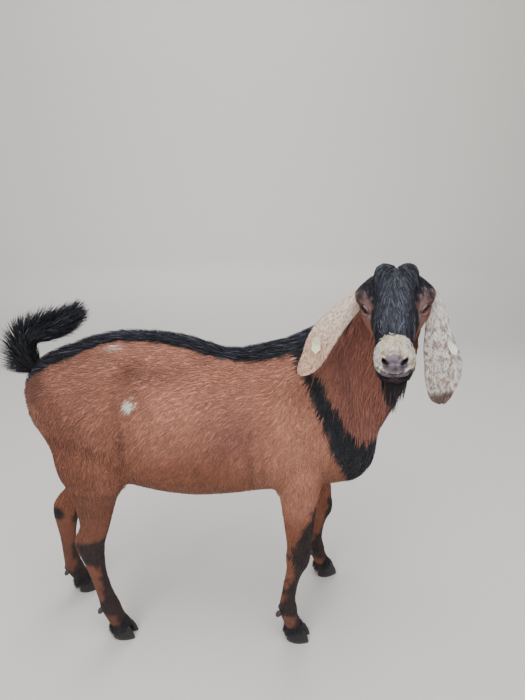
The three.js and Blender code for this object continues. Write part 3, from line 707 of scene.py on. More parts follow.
def shape_muzzle(h, normal):
    """Lips, chin, nose pad with its groove, and nostrils."""
    x, y, z = h.T
    side = np.abs(y)
    lip = lip_height(x, side)
    reach = smooth(MOUTH["start"] - 6, MOUTH["start"] + 8, x)
    front = smooth(118, 140, x)
    gap, upper, lower = near(z, lip, 1.7), near(z, lip + 5.5, 3.2), near(z, lip - 6, 3.5)
    lips = -4 * gap + 1.6 * upper + (1.2 + 1.6 * front) * lower
    chin = front * (2 * near(z, lip - 27, 8) - 2.2 * near(z, lip - 15, 4))
    nose = near(x, 148, 10)
    philtrum = -1.8 * near(y, 0, 1.5) * nose * smooth(-26, -16, z) * (1 - smooth(-8, 2, z))
    pad = 1.6 * nose * near(side, 0, 14) * near(z, -12, 9)
    a, b = nostril_place(side, z)
    pit = (a / 7.5) ** 2 + ((b - 0.03 * a * a) / 3) ** 2 + ((x - NOSTRIL[0]) / 12) ** 2
    nostril = -8.5 * np.exp(-(pit**1.4))
    wing = 2.6 * near(np.hypot(a / 11, b / 6.5), 1, 0.3) * near(x, NOSTRIL[0] - 2, 12)
    crease = -0.9 * near(side, 31, 2) * near(x, 126, 12) * near(z, -10, 12)
    return h + normal * (lips * reach + chin + philtrum + pad + nostril + wing + crease)[:, None]


shaped = shape_eyes(shape_muzzle(h, normal))
points = np.where(on_head(h)[:, None], from_head(shaped), points)
skin.data.vertices.foreach_set("co", place(points).ravel())
skin.data.update()

# The ears join the same mesh; their roots are sunk in the head.
EAR_LOOPS, EAR_ROUND = 96, 56
ear_starts = {}
with_ears = bmesh.new()
with_ears.from_mesh(skin.data)
for side, ear in ears.items():
    ear_starts[side] = len(with_ears.verts)
    t = np.linspace(0, 1, EAR_LOOPS)
    v = np.linspace(0, 2, EAR_ROUND, endpoint=False)
    loops = ear.sheet(t[:, None], v[None, :])[0]
    ends = [np.broadcast_to(loops[k].mean(0), (1, EAR_ROUND, 3)) for k in (0, -1)]
    put_into(with_ears, rolled(place(np.concatenate([ends[0], loops, ends[1]]))))
with_ears.to_mesh(skin.data)
with_ears.free()
shade_smooth(skin.data)
skin.data.update()
skin_points = coordinates(skin.data) / MM - SHIFT
skin_faces = [tuple(face.vertices) for face in skin.data.polygons]
skin_tree = BVHTree.FromPolygons([tuple(p) for p in skin_points], skin_faces)


# Colours, in linear light
def colour(r, g, b):
    """A colour given as it looks on a screen, from 0 to 255."""
    c = np.array([r, g, b]) / 255
    return np.where(c <= 0.04045, c / 12.92, ((c + 0.055) / 1.055) ** 2.4)


# The first of these is the pinker upper coat, partly its own tone and partly painted light from above; the
# second is the pale bay of painted highlights on the sides.
BAY_PINK = colour(184, 124, 101)
BAY_PAINTED_HIGHLIGHT = colour(228, 162, 134)
BAY = colour(150, 92, 66)
BAY_DARK = colour(104, 62, 50)
BAY_PLUM = colour(128, 84, 80)
RUST = colour(150, 84, 54)
BROWN = colour(166, 108, 92)
CHEEK = colour(182, 134, 118)
BLACK = colour(19, 19, 24)
# The next two are a painted blue-grey sheen and a painted smoky highlight on black hair.
SLATE_SHEEN = colour(70, 74, 86)
SMOKE_HIGHLIGHT = colour(112, 112, 124)
CREAM = colour(246, 238, 222)
CREAM_YELLOW = colour(222, 190, 138)
BROW = colour(118, 98, 100)
LID_PINK = colour(158, 124, 116)
LID_RIM = colour(44, 32, 32)
EAR_PALE = colour(253, 245, 238)
EAR_WARM = colour(255, 230, 210)
EAR_SPECK = colour(112, 82, 72)
EAR_TAN = colour(226, 172, 140)
EAR_TIP = colour(98, 76, 66)
NOSE = colour(121, 109, 117)
NOSE_DARK = colour(52, 44, 52)
IRIS = colour(50, 34, 24)
IRIS_LIGHT = colour(92, 62, 36)
# The next colour is painted shade over the eyeball beyond its iris.
EYE_PAINTED_SHADE = colour(24, 17, 16)
PUPIL = colour(6, 6, 9)


def line_distance(points, line):
    """Distance from points to a line through a few points, and the place along it, counted in points."""
    line = np.asarray(line, float)
    best = np.full(len(points), 1e9)
    where = np.zeros(len(points))
    for k, (a, b) in enumerate(zip(line[:-1], line[1:])):
        t = np.clip((points - a) @ (b - a) / ((b - a) @ (b - a)), 0, 1)
        d = np.linalg.norm(points - a - t[:, None] * (b - a), axis=1)
        where = np.where(d < best, k + t, where)
        best = np.minimum(d, best)
    return best, where


def steps_at(x, rows):
    """Values between the rows (place, value) of a short table."""
    places, values = np.array(sorted(rows), float).T
    return np.interp(x, places, values)


# Markings of the trunk. BACK is the back's height and STRIPE the dark stripe's half-width, at places along
# the body. COLLAR_REAR and COLLAR_FRONT are the edges of the black collar and THROAT the rear edge of the
# black under the neck, as heights and the places along the body that they reach. SPOT is the middle of a
# white fleck, as a place along the body and a height.
BACK = [(row[0], row[2]) for row in TRUNK_ROWS]
STRIPE = [(-404, 34), (-340, 40), (-292, 44), (-202, 26), (-111, 27), (7, 38), (80, 30), (160, 42), (218, 44),
          (300, 32), (430, 34)]
COLLAR_REAR = [(461, 383), (511, 362), (582, 320), (624, 307), (722, 270), (779, 245), (850, 215)]
COLLAR_FRONT = [(600, 600), (617, 398), (652, 350), (719, 318), (779, 284), (870, 262)]
THROAT = [(600, 455), (640, 466), (720, 478), (800, 482), (880, 470)]
SPOT = (-150, 726)
# Painted highlights over the bulges of the sides and painted shade in their hollows, and then a plum tint on
# the ribs
# and more painted shade laid over them: a colour, and ovals of it, each a share, a place along the body, a
# height, and the sizes along those
PAINTED_HIGHLIGHT_AND_SHADE_PATCHES = [
    (BAY_PINK, [(0.4, -222, 600, 26, 80), (0.25, -100, 640, 30, 70)]),
    (BAY_DARK, [(0.35, -318, 570, 30, 90), (0.3, -150, 520, 26, 26)]),
    (BAY_PAINTED_HIGHLIGHT, [(0.6, 243, 560, 60, 75), (0.25, 216, 680, 60, 60)]),
    (BAY_PAINTED_HIGHLIGHT, [(0.3, -16, 690, 110, 60)]),
]
PLUM_AND_PAINTED_SHADE_PATCHES = [
    (BAY_PLUM, [(0.5, 81, 655, 70, 60)]),
    (BAY_DARK, [(0.6, -135, 797, 32, 20), (0.5, -167, 640, 16, 50)]),
    (BAY_DARK, [(0.35, -60, 786, 80, 16), (0.3, -345, 700, 26, 60)]),
    (BAY_DARK, [(0.3, 128, 545, 10, 60), (0.3, 155, 550, 8, 50)]),
]


def spot_at(p, x, z, size_x, size_z):
    """1 in the middle of an oval patch on a side of the body, and 0 outside it."""
    return near(np.hypot((p[:, 0] - x) / size_x, (p[:, 2] - z) / size_z), 0, 1)


def patched(c, p, patches):
    """Colours c with ovals of other colours over them."""
    for tint, ovals in patches:
        c = mixed(c, tint, sum(share * spot_at(p, *oval) for share, *oval in ovals))
    return c


def trunk_colour(p):
    """Colours of the trunk and neck: bay, the stripe, the collar, the throat, the belly and the flecks."""
    x, y, z = p.T
    side = np.abs(y)
    fine = noise(p, 15, 2) - 0.5
    down = steps_at(x, BACK) - z
    # Paler and pinker up the sides and darker towards the belly: partly the coat's own tone, partly painted
    # light from above.
    low = smooth(90, 330, down + 70 * (noise(p, 90, 1) - 0.5) - 130 * smooth(100, 190, x))
    c = mixed(BAY_PINK, BAY, low)
    c = mixed(c, BAY_DARK, 0.26 * smooth(0.45, 0.85, noise(p, 60, 4)))
    # Darker towards the rump, and darker low on the sides and belly, where it is painted shade.
    c = mixed(c, BAY_DARK, 0.3 * smooth(-90, -260, x) + 0.28 * smooth(540, 470, z) * (x < 110))
    c = mixed(c, RUST, 0.5 * smooth(-250, -370, x) * smooth(30, 170, down))
    # Painted highlights on the thigh, flank, shoulder and ribs, and painted shade behind the thigh and low on
    # the flank.
    c = patched(c, p, PAINTED_HIGHLIGHT_AND_SHADE_PATCHES)
    c = mixed(c, BROWN, smooth(-12, 12, x - steps_at(z, COLLAR_FRONT)))
    c = mixed(c, BLACK, 0.3 * near(x + 0.2 * (z - 760), 350, 14) * smooth(640, 700, z) * smooth(860, 820, z))
    # A plum tint on the ribs, and painted shade in the hollows before the hip, at the flank, below the loin,
    # behind the thigh and behind the elbow.
    c = patched(c, p, PLUM_AND_PAINTED_SHADE_PATCHES)
    c = mixed(c, BAY_DARK, 0.85 * smooth(34, 10, side + 24 * fine) * smooth(480, 455, z) * (x < 320))
    tail_root = np.hypot((x + 385) / 45, (z - 765) / 62)
    c = mixed(c, BAY_DARK, 0.8 * smooth(1.1, 0.6, tail_root + 0.4 * fine))
    dark = smooth(6, -6, side - steps_at(x, STRIPE) + 18 * fine) * smooth(120, 60, down)
    rear = smooth(-6, 6, x - steps_at(z, COLLAR_REAR) + 14 * fine)
    front = smooth(7, -7, x - steps_at(z, COLLAR_FRONT) + 14 * fine)
    dark = np.maximum(dark, rear * front * (z < 870))
    taper = side + 18 * smooth(700, 800, z) + 12 * fine
    throat = smooth(10, -8, steps_at(z, THROAT) - x + 20 * fine) * smooth(54, 40, taper) * smooth(810, 760, z)
    dark = np.maximum(dark, throat * (x > 380))
    # The stripe, collar and throat are black with a patchy painted blue-grey sheen.
    c = mixed(c, mixed(BLACK, SLATE_SHEEN, 0.35 * noise(p, 12, 5)), dark)
    pale = np.hypot((x - SPOT[0]) / 13, (z - SPOT[1]) / 15) + 0.4 * fine
    c = mixed(c, CREAM, smooth(1.15, 0.75, pale) * (y < -60))
    return mixed(c, CREAM, 0.6 * spot_at(p, -186, 839, 16, 6) * (y < -35))


# Markings of the legs: heights and how far back the black of each reaches there, and the dark point of one
# hock
LEG_EDGES = {
    "fore_right": [(470, 305), (436, 280), (400, 262), (370, 248), (324, 228), (304, 226), (286, 214),
                   (272, 232), (261, 232), (228, 226), (186, 213), (140, 204), (125, 185), (104, 185),
                   (97, 238), (56, 240), (46, 190)],
    "fore_left": [(420, 420), (380, 390), (330, 372), (300, 354), (220, 353), (195, 345), (160, 328),
                  (120, 314), (80, 316), (70, 352), (48, 352), (40, 320)],
    "hind_right": [(500, -150), (440, -190), (400, -212), (360, -236), (345, -262), (333, -320),
                   (272, -320), (260, -288), (250, -274), (140, -272), (128, -320), (100, -320),
                   (92, -248), (55, -244), (45, -310)],
    "hind_left": [(400, -270), (330, -360), (300, -382), (200, -386), (180, -402), (100, -402),
                  (80, -424), (60, -436), (45, -460)],
}
HOCK_POINT = (-424, 56, 310)


def leg_colour(p, leg):
    x, _, z = p.T
    fine = noise(p, 11, 5) - 0.5
    c = mixed(BAY, RUST, 0.5 * noise(p, 50, 6))
    if leg.startswith("fore"):
        # The fore legs' tops take the trunk's pinker upper coat, partly painted light from above.
        c = mixed(c, BAY_PINK, smooth(380, 450, z))
    else:
        c = mixed(c, BAY_DARK, 0.4)
    # Darker towards the feet: partly the coat's own tone, partly painted shade.
    c = mixed(c, BAY_DARK, 0.7 * smooth(290, 90, z + 60 * (noise(p, 40, 7) - 0.5)))
    edge = steps_at(z, LEG_EDGES[leg])
    dark = smooth(-9, 6, x - edge + 22 * fine)
    if leg == "hind_left":
        dark = np.maximum(dark, smooth(26, 16, np.linalg.norm((p - HOCK_POINT) * (1, 0.6, 1), axis=1)))
    return mixed(c, mixed(BLACK, BAY_DARK, 0.3 * noise(p, 9, 7)), dark)


# Markings of the head: the black's half-width along the face, and how far down the cheeks it reaches
FACE_BLACK = [(-110, 78), (-38, 76), (-20, 62), (-6, 49), (11, 45), (29, 42), (40, 50)]
CHEEK_BLACK = [(14, 24), (18, -4), (37, -22), (49, -38), (100, -42)]


def head_colour(h):
    """Colours of the head's coat: a bay cheek, the black face, brows, lids and the cream muzzle."""
    x, y, z = h.T
    side = np.abs(y)
    mirror = mirrored(h)
    fine = noise(h, 8, 8) - 0.5
    c = mixed(mixed(BAY, CHEEK, 0.7), RUST, 0.3 * noise(h, 40, 9))
    brow = smooth(-16, 6, z + 0.3 * x) * smooth(40, 0, x)
    c = mixed(c, mixed(BROW, BAY_DARK, 0.5 * noise(h, 12, 16)), brow)
    cheek = smooth(12, 24, x) * smooth(-6, 6, z - steps_at(x, CHEEK_BLACK) + 12 * fine)
    crown = smooth(9, -7, side - steps_at(x, FACE_BLACK) + 26 * fine) * smooth(-24, 4, z + 0.2 * x)
    poll = smooth(-50, -75, x) * smooth(56, 40, side + 20 * fine) * smooth(-72, -52, z)
    temple = near(np.linalg.norm((mirror - (-16, 70, 28)) / (5, 9, 16), axis=1), 0, 1)
    lip = lip_height(x, side)
    chin = smooth(lip - 2, lip - 8, z) * smooth(70, 95, x)
    black = np.maximum.reduce([cheek, crown, poll, temple, chin])
    # A painted blue-grey sheen over the black, strongest down the middle of the face above the muzzle.
    grey = (0.15 + 0.6 * smooth(36, 16, side) * (z > -10)) * (0.4 + noise(h, 7, 10))
    c = mixed(c, mixed(BLACK, SLATE_SHEEN, grey), black)
    around = np.linalg.norm(mirror - EYE_AT - (6, 6, 0), axis=1)
    c = mixed(c, LID_PINK, 0.85 * smooth(30, 17, around + 8 * fine))
    for sign in (1, -1):
        _, upward, ahead, inside = lid_place(h, sign)
        front = ahead > 0
        c = mixed(c, mixed(BROW, LID_RIM, 0.4), 0.75 * smooth(2.3, 1.5, inside) * (upward > 0) * front)
        c = mixed(c, LID_RIM, smooth(1.5, 1.15, inside) * front)
    start = 100 + 13 * (side / 35) ** 2 + 12 * fine + 9 * (noise(h, 4, 19) - 0.5)
    cream = smooth(-3, 4, x - start) * smooth(lip - 4, lip + 2, z + 6 * fine)
    c = mixed(c, CREAM, cream)
    c = mixed(c, CREAM_YELLOW, cream * smooth(0.4, 0.6, noise(h, 12, 12)) * smooth(-14, 2, z))
    c = mixed(c, mixed(CREAM_YELLOW, NOSE, 0.6), 0.7 * cream * smooth(0.54, 0.64, noise(h, 4.5, 23)))
    c = mixed(c, NOSE, 0.7 * cream * smooth(0.45, 0.7, noise(h, 3.5, 13)) * smooth(4, -10, z))
    return c


def bare_nose(h):
    """1 on the bare nose and lips, and 0 where the hair starts."""
    x, y, z = h.T
    side = np.abs(y)
    edge = np.hypot(side / 24.5, (z + 8) / 17) + 0.2 * (noise(h, 5, 18) - 0.5)
    pad = smooth(1.12, 0.9, edge) * smooth(126, 133, x)
    lips = near(z, lip_height(x, side) - 6, 10) * smooth(128, 138, x) * smooth(30, 22, side)
    return np.maximum(pad, smooth(0.3, 0.6, lips))


def face_colour(h):
    """Head colours with the bare nose and lips, and painted shade in the nostrils and where the lips meet."""
    x, y, z = h.T
    side = np.abs(y)
    c = head_colour(h)
    lip = lip_height(x, side)
    smudge = 0.8 * near(np.hypot(y / 7, (z + 15) / 6), 0, 1) + 0.5 * smooth(0.5, 0.7, noise(h, 6, 15))
    nose = mixed(NOSE, NOSE_DARK, np.clip(smudge, 0, 1))
    nose = mixed(nose, NOSE_DARK, 0.5 * near(np.hypot((side - NOSTRIL[1]) / 14, (z - NOSTRIL[2]) / 11), 0, 1))
    nose = mixed(nose, NOSE_DARK, 0.55 * smooth(lip + 1, lip - 4, z))
    c = mixed(c, nose, bare_nose(h))
    # Painted shade deep in the nostrils.
    a, b = nostril_place(side, z)
    hole = near(np.hypot(a / 9, b / 4.6), 0, 1) * smooth(130, 138, x)
    c = mixed(c, BLACK, np.clip(1.6 * hole, 0, 1))
    # Painted shade in the line where the lips meet.
    gap = near(z, lip, 2.0) * smooth(100, 116, x)
    c = mixed(c, BLACK, 0.9 * gap)
    stain = near(np.hypot((y + 9) / 9, (z + 62) / 4), 0, 1) * smooth(128, 138, x)
    return mixed(c, CREAM_YELLOW * 0.55, stain)


def ear_colour(p, t, side):
    """Colours of a flecked ear at places t along it."""
    speck = smooth(0.54, 0.62, noise(p, 4.2, 14))
    c = mixed(EAR_PALE, EAR_SPECK, (0.18 + 0.5 * smooth(0.1, 0.4, t)) * speck)
    c = mixed(c, EAR_TAN, 0.16 * smooth(0.3, 0.6, t) * smooth(0.3, 0.7, noise(p, 22, 17)))
    if side == "right":
        c = mixed(mixed(EAR_WARM, EAR_SPECK, 0.3 * speck), EAR_TAN, 0.6 * smooth(0.35, 0.85, t))
    c = mixed(c, BAY_PINK, 0.7 * smooth(0.16, 0.04, t))
    return mixed(c, EAR_TIP, 0.9 * smooth(0.84, 0.91, t)) if side == "left" else c


def skin_colour(p):
    """Colours of points anywhere on the body, legs, tail and head."""
    c = trunk_colour(p)
    for leg, form in LEGS.items():
        d, _ = line_distance(p, curve_at(form["path"], np.linspace(0, 1, 40)))
        c = mixed(c, leg_colour(p, leg), smooth(75, 55, d) * smooth(520, 470, p[:, 2]))
    d, _ = line_distance(p, TAIL_PATH[1:])
    c = mixed(c, BLACK, smooth(45, 35, d) * smooth(790, 810, p[:, 2]))
    h = to_head(p)
    return mixed(c, face_colour(h), on_head(h) * smooth(-98, -85, h[:, 0]))


def paint(mesh, colours, furred=None):
    """Colours at a mesh's points, with how furred each point is beside them."""
    furred = np.ones(len(colours)) if furred is None else furred
    layer = mesh.color_attributes.new("hair", "FLOAT_COLOR", "POINT")
    layer.data.foreach_set("color", np.hstack([colours, furred[:, None]]).astype(np.float32).ravel())


skin_colours = skin_colour(skin_points)
for side, start in ear_starts.items():
    stop = min([other for other in ear_starts.values() if other > start] + [len(skin_points)])
    d, k = line_distance(skin_points[start:stop], curve_at(EARS[side]["path"], np.linspace(0, 1, 40)))
    skin_colours[start:stop] = ear_colour(skin_points[start:stop], k / 39, side)
head_part = on_head(to_head(skin_points)) & (np.arange(len(skin_points)) < min(ear_starts.values()))
paint(skin.data, skin_colours, 1 - head_part * bare_nose(to_head(skin_points)))


# Tufts: their width and thickness along them as shares of the widest, and their patch and margin on OFBake
TUFT_WIDTH = ((0, 0.3, 0.75, 1), (0.7, 1, 0.65, 0))
TUFT_THICKNESS = ((0, 0.3, 1), (1, 1, 0.4))
BAKE_PATCH, BAKE_MARGIN = 0.003, 0.004


def tuft_mesh(name, spine, out, width, thick, colours, uv):
    """One mesh of closed tapered tufts. spine and out are arrays of tuft, place along it, and coordinate."""
    count, steps = spine.shape[:2]
    rings = steps - 1
    lie = unit(np.gradient(spine, axis=1))
    side = unit(np.cross(lie, out))
    flat = np.cross(side, lie)
    s = np.linspace(0, 1, steps)
    w = (width[:, None] * np.interp(s, *TUFT_WIDTH) / 2)[..., None]
    t = (thick[:, None] * np.interp(s, *TUFT_THICKNESS))[..., None]
    low, ridge = spine - flat * t * 0.3, spine + flat * t * 0.6
    ring = np.stack([low + side * w, ridge, low - side * w], 2)
    verts = np.concatenate([ring[:, :rings].reshape(count, rings * 3, 3), spine[:, -1:, :]], axis=1)
    per = rings * 3 + 1
    quads = [(3 * k + j, 3 * k + (j + 1) % 3, 3 * k + 3 + (j + 1) % 3, 3 * k + 3 + j)
             for k in range(rings - 1) for j in range(3)]
    tip = per - 1
    last = 3 * (rings - 1)
    tris = [(last, last + 1, tip), (last + 1, last + 2, tip), (last + 2, last, tip), (2, 1, 0)]
    corners = np.concatenate([np.array(quads, int).ravel(), np.array(tris).ravel()])
    sizes = np.array([4] * len(quads) + [3] * len(tris))
    loops = (np.arange(count)[:, None] * per + corners).ravel()
    starts = (np.arange(count)[:, None] * len(corners) + np.concatenate([[0], np.cumsum(sizes)[:-1]])).ravel()
    mesh = bpy.data.meshes.new(name)
    mesh.vertices.add(count * per)
    mesh.vertices.foreach_set("co", place(verts.reshape(-1, 3)).ravel())
    mesh.loops.add(len(loops))
    mesh.loops.foreach_set("vertex_index", loops.astype(np.int32))
    mesh.polygons.add(len(starts))
    mesh.polygons.foreach_set("loop_start", starts.astype(np.int32))
    mesh.update(calc_edges=True)
    shade_smooth(mesh)
    # Painted shade at each tuft's root and a painted highlight at its tip, and maps: OFBake puts a tuft at
    # its root's place, strand runs along it.
    level = np.concatenate([np.repeat(s[:rings], 3), [1.0]])
    crosswise = np.concatenate([np.tile([0.0, 0.5, 1.0], rings), [0.5]])
    shade = mixed(colours[0][:, None, :], colours[1][:, None, :], np.broadcast_to(level, (count, per)))
    paint(mesh, shade.reshape(-1, 3))
    low, high = uv.min(0), uv.max(0)
    room = 1 - 2 * BAKE_MARGIN - BAKE_PATCH
    root = BAKE_MARGIN + (uv - low) / np.maximum(high - low, 1e-6) * room
    own = np.stack([crosswise, level], 1)[None]
    bake = root[:, None, :] + BAKE_PATCH * own
    strand = own + np.arange(count)[:, None, None] * (0.37, 0)
    for map_name, values in (("OFBake", bake), ("strand", strand)):
        layer = mesh.uv_layers.new(name=map_name, do_init=False)
        layer.uv.foreach_set("vector", values[:, corners, :].astype(np.float32).ravel())
    return new_object(name, mesh)


rng = np.random.default_rng(7)


def spread(low, high, count):
    return low + (high - low) * rng.random(count)


# How far apart the tufts of each coat stand, and how many strands each kind of long hair has
SPACING = {"body": 4.2, "leg": 4.2, "head": 2.85, "ear": 2.45}
STRANDS = {"crest": 4600, "neck": 5300, "tail": 3400, "crown": 1300, "forelock": 2400, "muzzle": 1900,
           "chin": 1500, "beard": 820, "fetlock": 420}


def dense(coat_name, change=0):
    return (SPACING[coat_name] + change) * 1.0


def some(kind):
    return STRANDS[kind]


def scatter(at, last, spacing, span=(0, 2 * math.pi), start=0.0, cells=(260, 120)):
    """Places (u, v) spread evenly over a surface that at(u, v) gives, about one every spacing millimetres."""
    u = np.linspace(start, last, cells[0] + 1)
    v = np.linspace(span[0], span[1], cells[1] + 1)
    p = at(u[:, None], v[None, :])[0]
    du, dv = p[1:, :-1] - p[:-1, :-1], p[:-1, 1:] - p[:-1, :-1]
    area = np.linalg.norm(np.cross(du, dv), axis=2)
    middle_u, middle_v = np.meshgrid((u[1:] + u[:-1]) / 2, (v[1:] + v[:-1]) / 2, indexing="ij")
    wanted = area / (spacing(middle_u, middle_v) ** 2)
    # Every other row of cells is counted backwards, so that what is left over passes to a neighbour.
    wanted[1::2] = wanted[1::2, ::-1]
    total = np.cumsum(wanted.ravel())
    marks = np.arange(0.5, total[-1])
    cell = np.searchsorted(total, marks)
    i, j = cell // cells[1], cell % cells[1]
    j = np.where(i % 2 == 1, cells[1] - 1 - j, j)
    return (u[i] + rng.random(len(i)) * (u[1] - u[0]), v[j] + rng.random(len(j)) * (v[1] - v[0]))


def follow(at, u, v, way, length, steps, rise, sink):
    """Spines that run over a surface from (u, v), as near as it lets them to a way given in space."""
    e = 0.01
    _, normal = at(u, v)
    du = (at(u + e, v)[0] - at(u - e, v)[0]) / (2 * e)
    dv = (at(u, v + e)[0] - at(u, v - e)[0]) / (2 * e)
    way = unit(way - normal * (way * normal).sum(1, keepdims=True)) * length[:, None]
    # The steps in u and v that come nearest to that way, from the surface's own slopes
    a, b, c = (du * du).sum(1), (du * dv).sum(1), (dv * dv).sum(1)
    along, around = (du * way).sum(1), (dv * way).sum(1)
    det = np.maximum(a * c - b * b, 0.02 * a * c + 1e-6)
    step_u = np.clip((c * along - b * around) / det, -1.5, 1.5)
    step_v = np.clip((a * around - b * along) / det, -0.9, 0.9)
    s = np.linspace(0, 1, steps)[None, :]
    spine, normal = at(u[:, None] + step_u[:, None] * s, v[:, None] + step_v[:, None] * s)
    lift = rise[:, None] * np.sin(np.minimum(1, 1.25 * s) * math.pi / 2) - sink * (1 - s) ** 3
    return spine + normal * lift[..., None], normal


def snapped(spine, normal, reach, sink):
    """Spines moved with their roots onto the skin, and which of them have a root near it."""
    offset = np.zeros((len(spine), 3))
    keep = np.zeros(len(spine), bool)
    for i, p in enumerate(spine[:, 0]):
        spot, way, _, distance = skin_tree.find_nearest(Vector(p))
        if distance < reach and np.dot(way, normal[i, 0]) > 0.35:
            keep[i] = True
            offset[i] = np.array(spot) - p - sink * normal[i, 0]
    return spine + offset[:, None, :], keep


SINK = 1.2  # how deep a coat tuft's root lies
COAT_STEPS = 3
coat_pieces = []


def toned(colours, roots, amount=0.1, clumps=0.4, clump=9):
    """Colours that change in brightness from tuft to tuft and from clump to clump."""
    change = amount * rng.normal(size=len(roots)) + clumps * (noise(roots, clump, 21) - 0.5)
    return np.clip(colours * np.exp(change)[:, None], 0, 0.95)


def shaded(colours, root, tip):
    """Colours of tufts at their roots, darkened as painted shade, and at their tips, lightened as a painted
    highlight.
    """
    return colours * root, np.minimum(colours * tip, 1)


def coat(name, slot, at, u, v, way, length, width, thick, rise, colours, split=1, reach=12, **tones):
    """A coat of short tufts on the skin, in as many pieces as split says."""
    way = way + rng.normal(size=(len(u), 3)) * 0.13
    spine, out = follow(at, u, v, way, length, COAT_STEPS, rise, SINK)
    spine, keep = snapped(spine, out, reach, SINK)
    order = np.nonzero(keep)[0]
    order = order[np.argsort(u[order], kind="stable")]
    shade = toned(colours(spine[:, 0]), spine[:, 0], **tones)
    for k, chosen in enumerate(np.array_split(order, split)):
        piece = f"{name}_{k + 1}" if split > 1 else name
        # Darker roots are painted shade among the tufts, lighter tips a painted highlight.
        shades = shaded(shade[chosen], 0.78, 1.12)
        uv = np.stack([u[chosen], v[chosen]], 1)
        obj = tuft_mesh(piece, spine[chosen], out[chosen], width[chosen], thick[chosen], shades, uv)
        coat_pieces.append((obj, slot))


def body_way(p):
    """The lie of the body's coat: back along the spine, then ever more steeply down the sides."""
    x, _, z = p.T
    down = steps_at(x, BACK) - z
    steep = np.radians(8 + 44 * smooth(20, 170, down) + 28 * smooth(170, 330, down))
    steep = np.maximum(steep, np.radians(72) * smooth(120, 220, x) * smooth(20, 120, down))
    steep = np.maximum(steep, np.radians(80) * smooth(250, 330, x))
    steep = np.maximum(steep, np.radians(66) * smooth(-230, -330, x) * smooth(20, 110, down))
    steep = steep + 0.7 * (noise(p, 70, 3) - 0.5)
    return np.stack([-np.cos(steep), 0 * x, -np.sin(steep)], 1)


# Body coat, thinner under the belly
u, v = scatter(trunk.whole, trunk.last, lambda u, v: dense("body", 0.5 * near(v, math.pi, 0.5)), start=-0.98)
n = len(u)
coat("coat_body", "bay_coat", trunk.whole, u, v, body_way(trunk.whole(u, v)[0]), spread(15, 24, n),
     spread(1.9, 3.0, n), spread(0.5, 0.9, n), spread(1.2, 3.4, n), trunk_colour, split=5)

# Leg coats, finer and closer towards the feet
for name, loft in legs.items():
    u, v = scatter(loft.at, loft.last, lambda u, v: dense("leg", -1.1 * smooth(4, 10, u)), start=0.5)
    n = len(u)
    size = 1 - 0.45 * smooth(3, 10, u)
    way = np.tile([-0.12, 0.0, -1.0], (n, 1))
    coat("coat_" + name, "leg_coat", loft.at, u, v, way, spread(15, 21, n) * size,
         spread(1.8, 2.9, n) * size, spread(0.5, 0.9, n) * size, spread(0.9, 2.4, n) * size, skin_colour)


# Head coat, which leaves the open eyes and the bare nose free
def head_at(u, v):
    """The skull's surface in the goat's own frame."""
    p, n = skull.whole(u, v)
    return from_head(p), n @ HEAD_TURN.T


def in_space(way):
    return np.asarray(way, float) @ HEAD_TURN.T


u, v = scatter(head_at, skull.last + 0.8, lambda u, v: dense("head", -0.45 * smooth(6, 10, u)), start=0.2)
h = skull.whole(u, v)[0]
open_eye = np.zeros(len(u), bool)
for sign in (1, -1):
    _, _, c, inside = lid_place(h, sign)
    open_eye |= (inside < 1.12) & (c > 0)
keep = ~open_eye & (bare_nose(h) < 0.5)
u, v, h = u[keep], v[keep], h[keep]
n = len(u)
size = 1 - 0.42 * smooth(4, 9.5, u)
way = in_space(np.stack([np.ones(n), 0.25 * np.sign(h[:, 1]), -0.2 + 0 * u], 1))
coat("coat_head", "black_coat", head_at, u, v, way, spread(8, 13, n) * size, spread(1.5, 2.3, n) * size,
     spread(0.45, 0.7, n), spread(0.8, 2.0, n), lambda p: head_colour(to_head(p)), reach=8, clump=4)

# Ear coats
for side, ear in ears.items():
    u, v = scatter(ear.sheet, 1.0, lambda u, v: dense("ear") + 0 * v, span=(0, 2), start=0.04,
                   cells=(150, 60))
    n = len(u)
    way = curve_way(ear.path, u) + rng.normal(size=(n, 3)) * 0.25
    spine, out = follow(ear.sheet, u, v, way, spread(5, 8, n), COAT_STEPS, spread(0.5, 1.3, n), 0.5)
    c = toned(ear_colour(spine[:, 0], u, side), spine[:, 0], 0.12, 0.2, 3)
    c = mixed(c, EAR_SPECK, (rng.random(n) < 0.2) * 0.6 * smooth(0.02, 0.2, u))
    obj = tuft_mesh("coat_ear_" + side, spine, out, spread(1.3, 2.0, n), spread(0.35, 0.55, n),
                    shaded(c, 0.92, 1.12), np.stack([u, v], 1))
    coat_pieces.append((obj, "ear_coat"))


# Long hair
def long_hair(name, slot, spine, out, width, thick, colours, uv, tip=1.2, root=0.7, amount=0.2, clumps=0.4):
    """A piece of longer strands along given spines, with painted shade at their roots and a painted highlight
    at their tips.
    """
    shades = shaded(toned(colours, spine[:, 0], amount, clumps), root, tip)
    coat_pieces.append((tuft_mesh(name, spine, out, width, thick, shades, uv), slot))


def dark_mix(count, grey):
    """Black hair with a painted blue-grey sheen on some of it and a painted smoky highlight on a little of
    it.
    """
    c = mixed(np.tile(BLACK, (count, 1)), SLATE_SHEEN, grey * rng.random(count))
    return mixed(c, SMOKE_HIGHLIGHT, 0.5 * (rng.random(count) < 0.3 * grey))


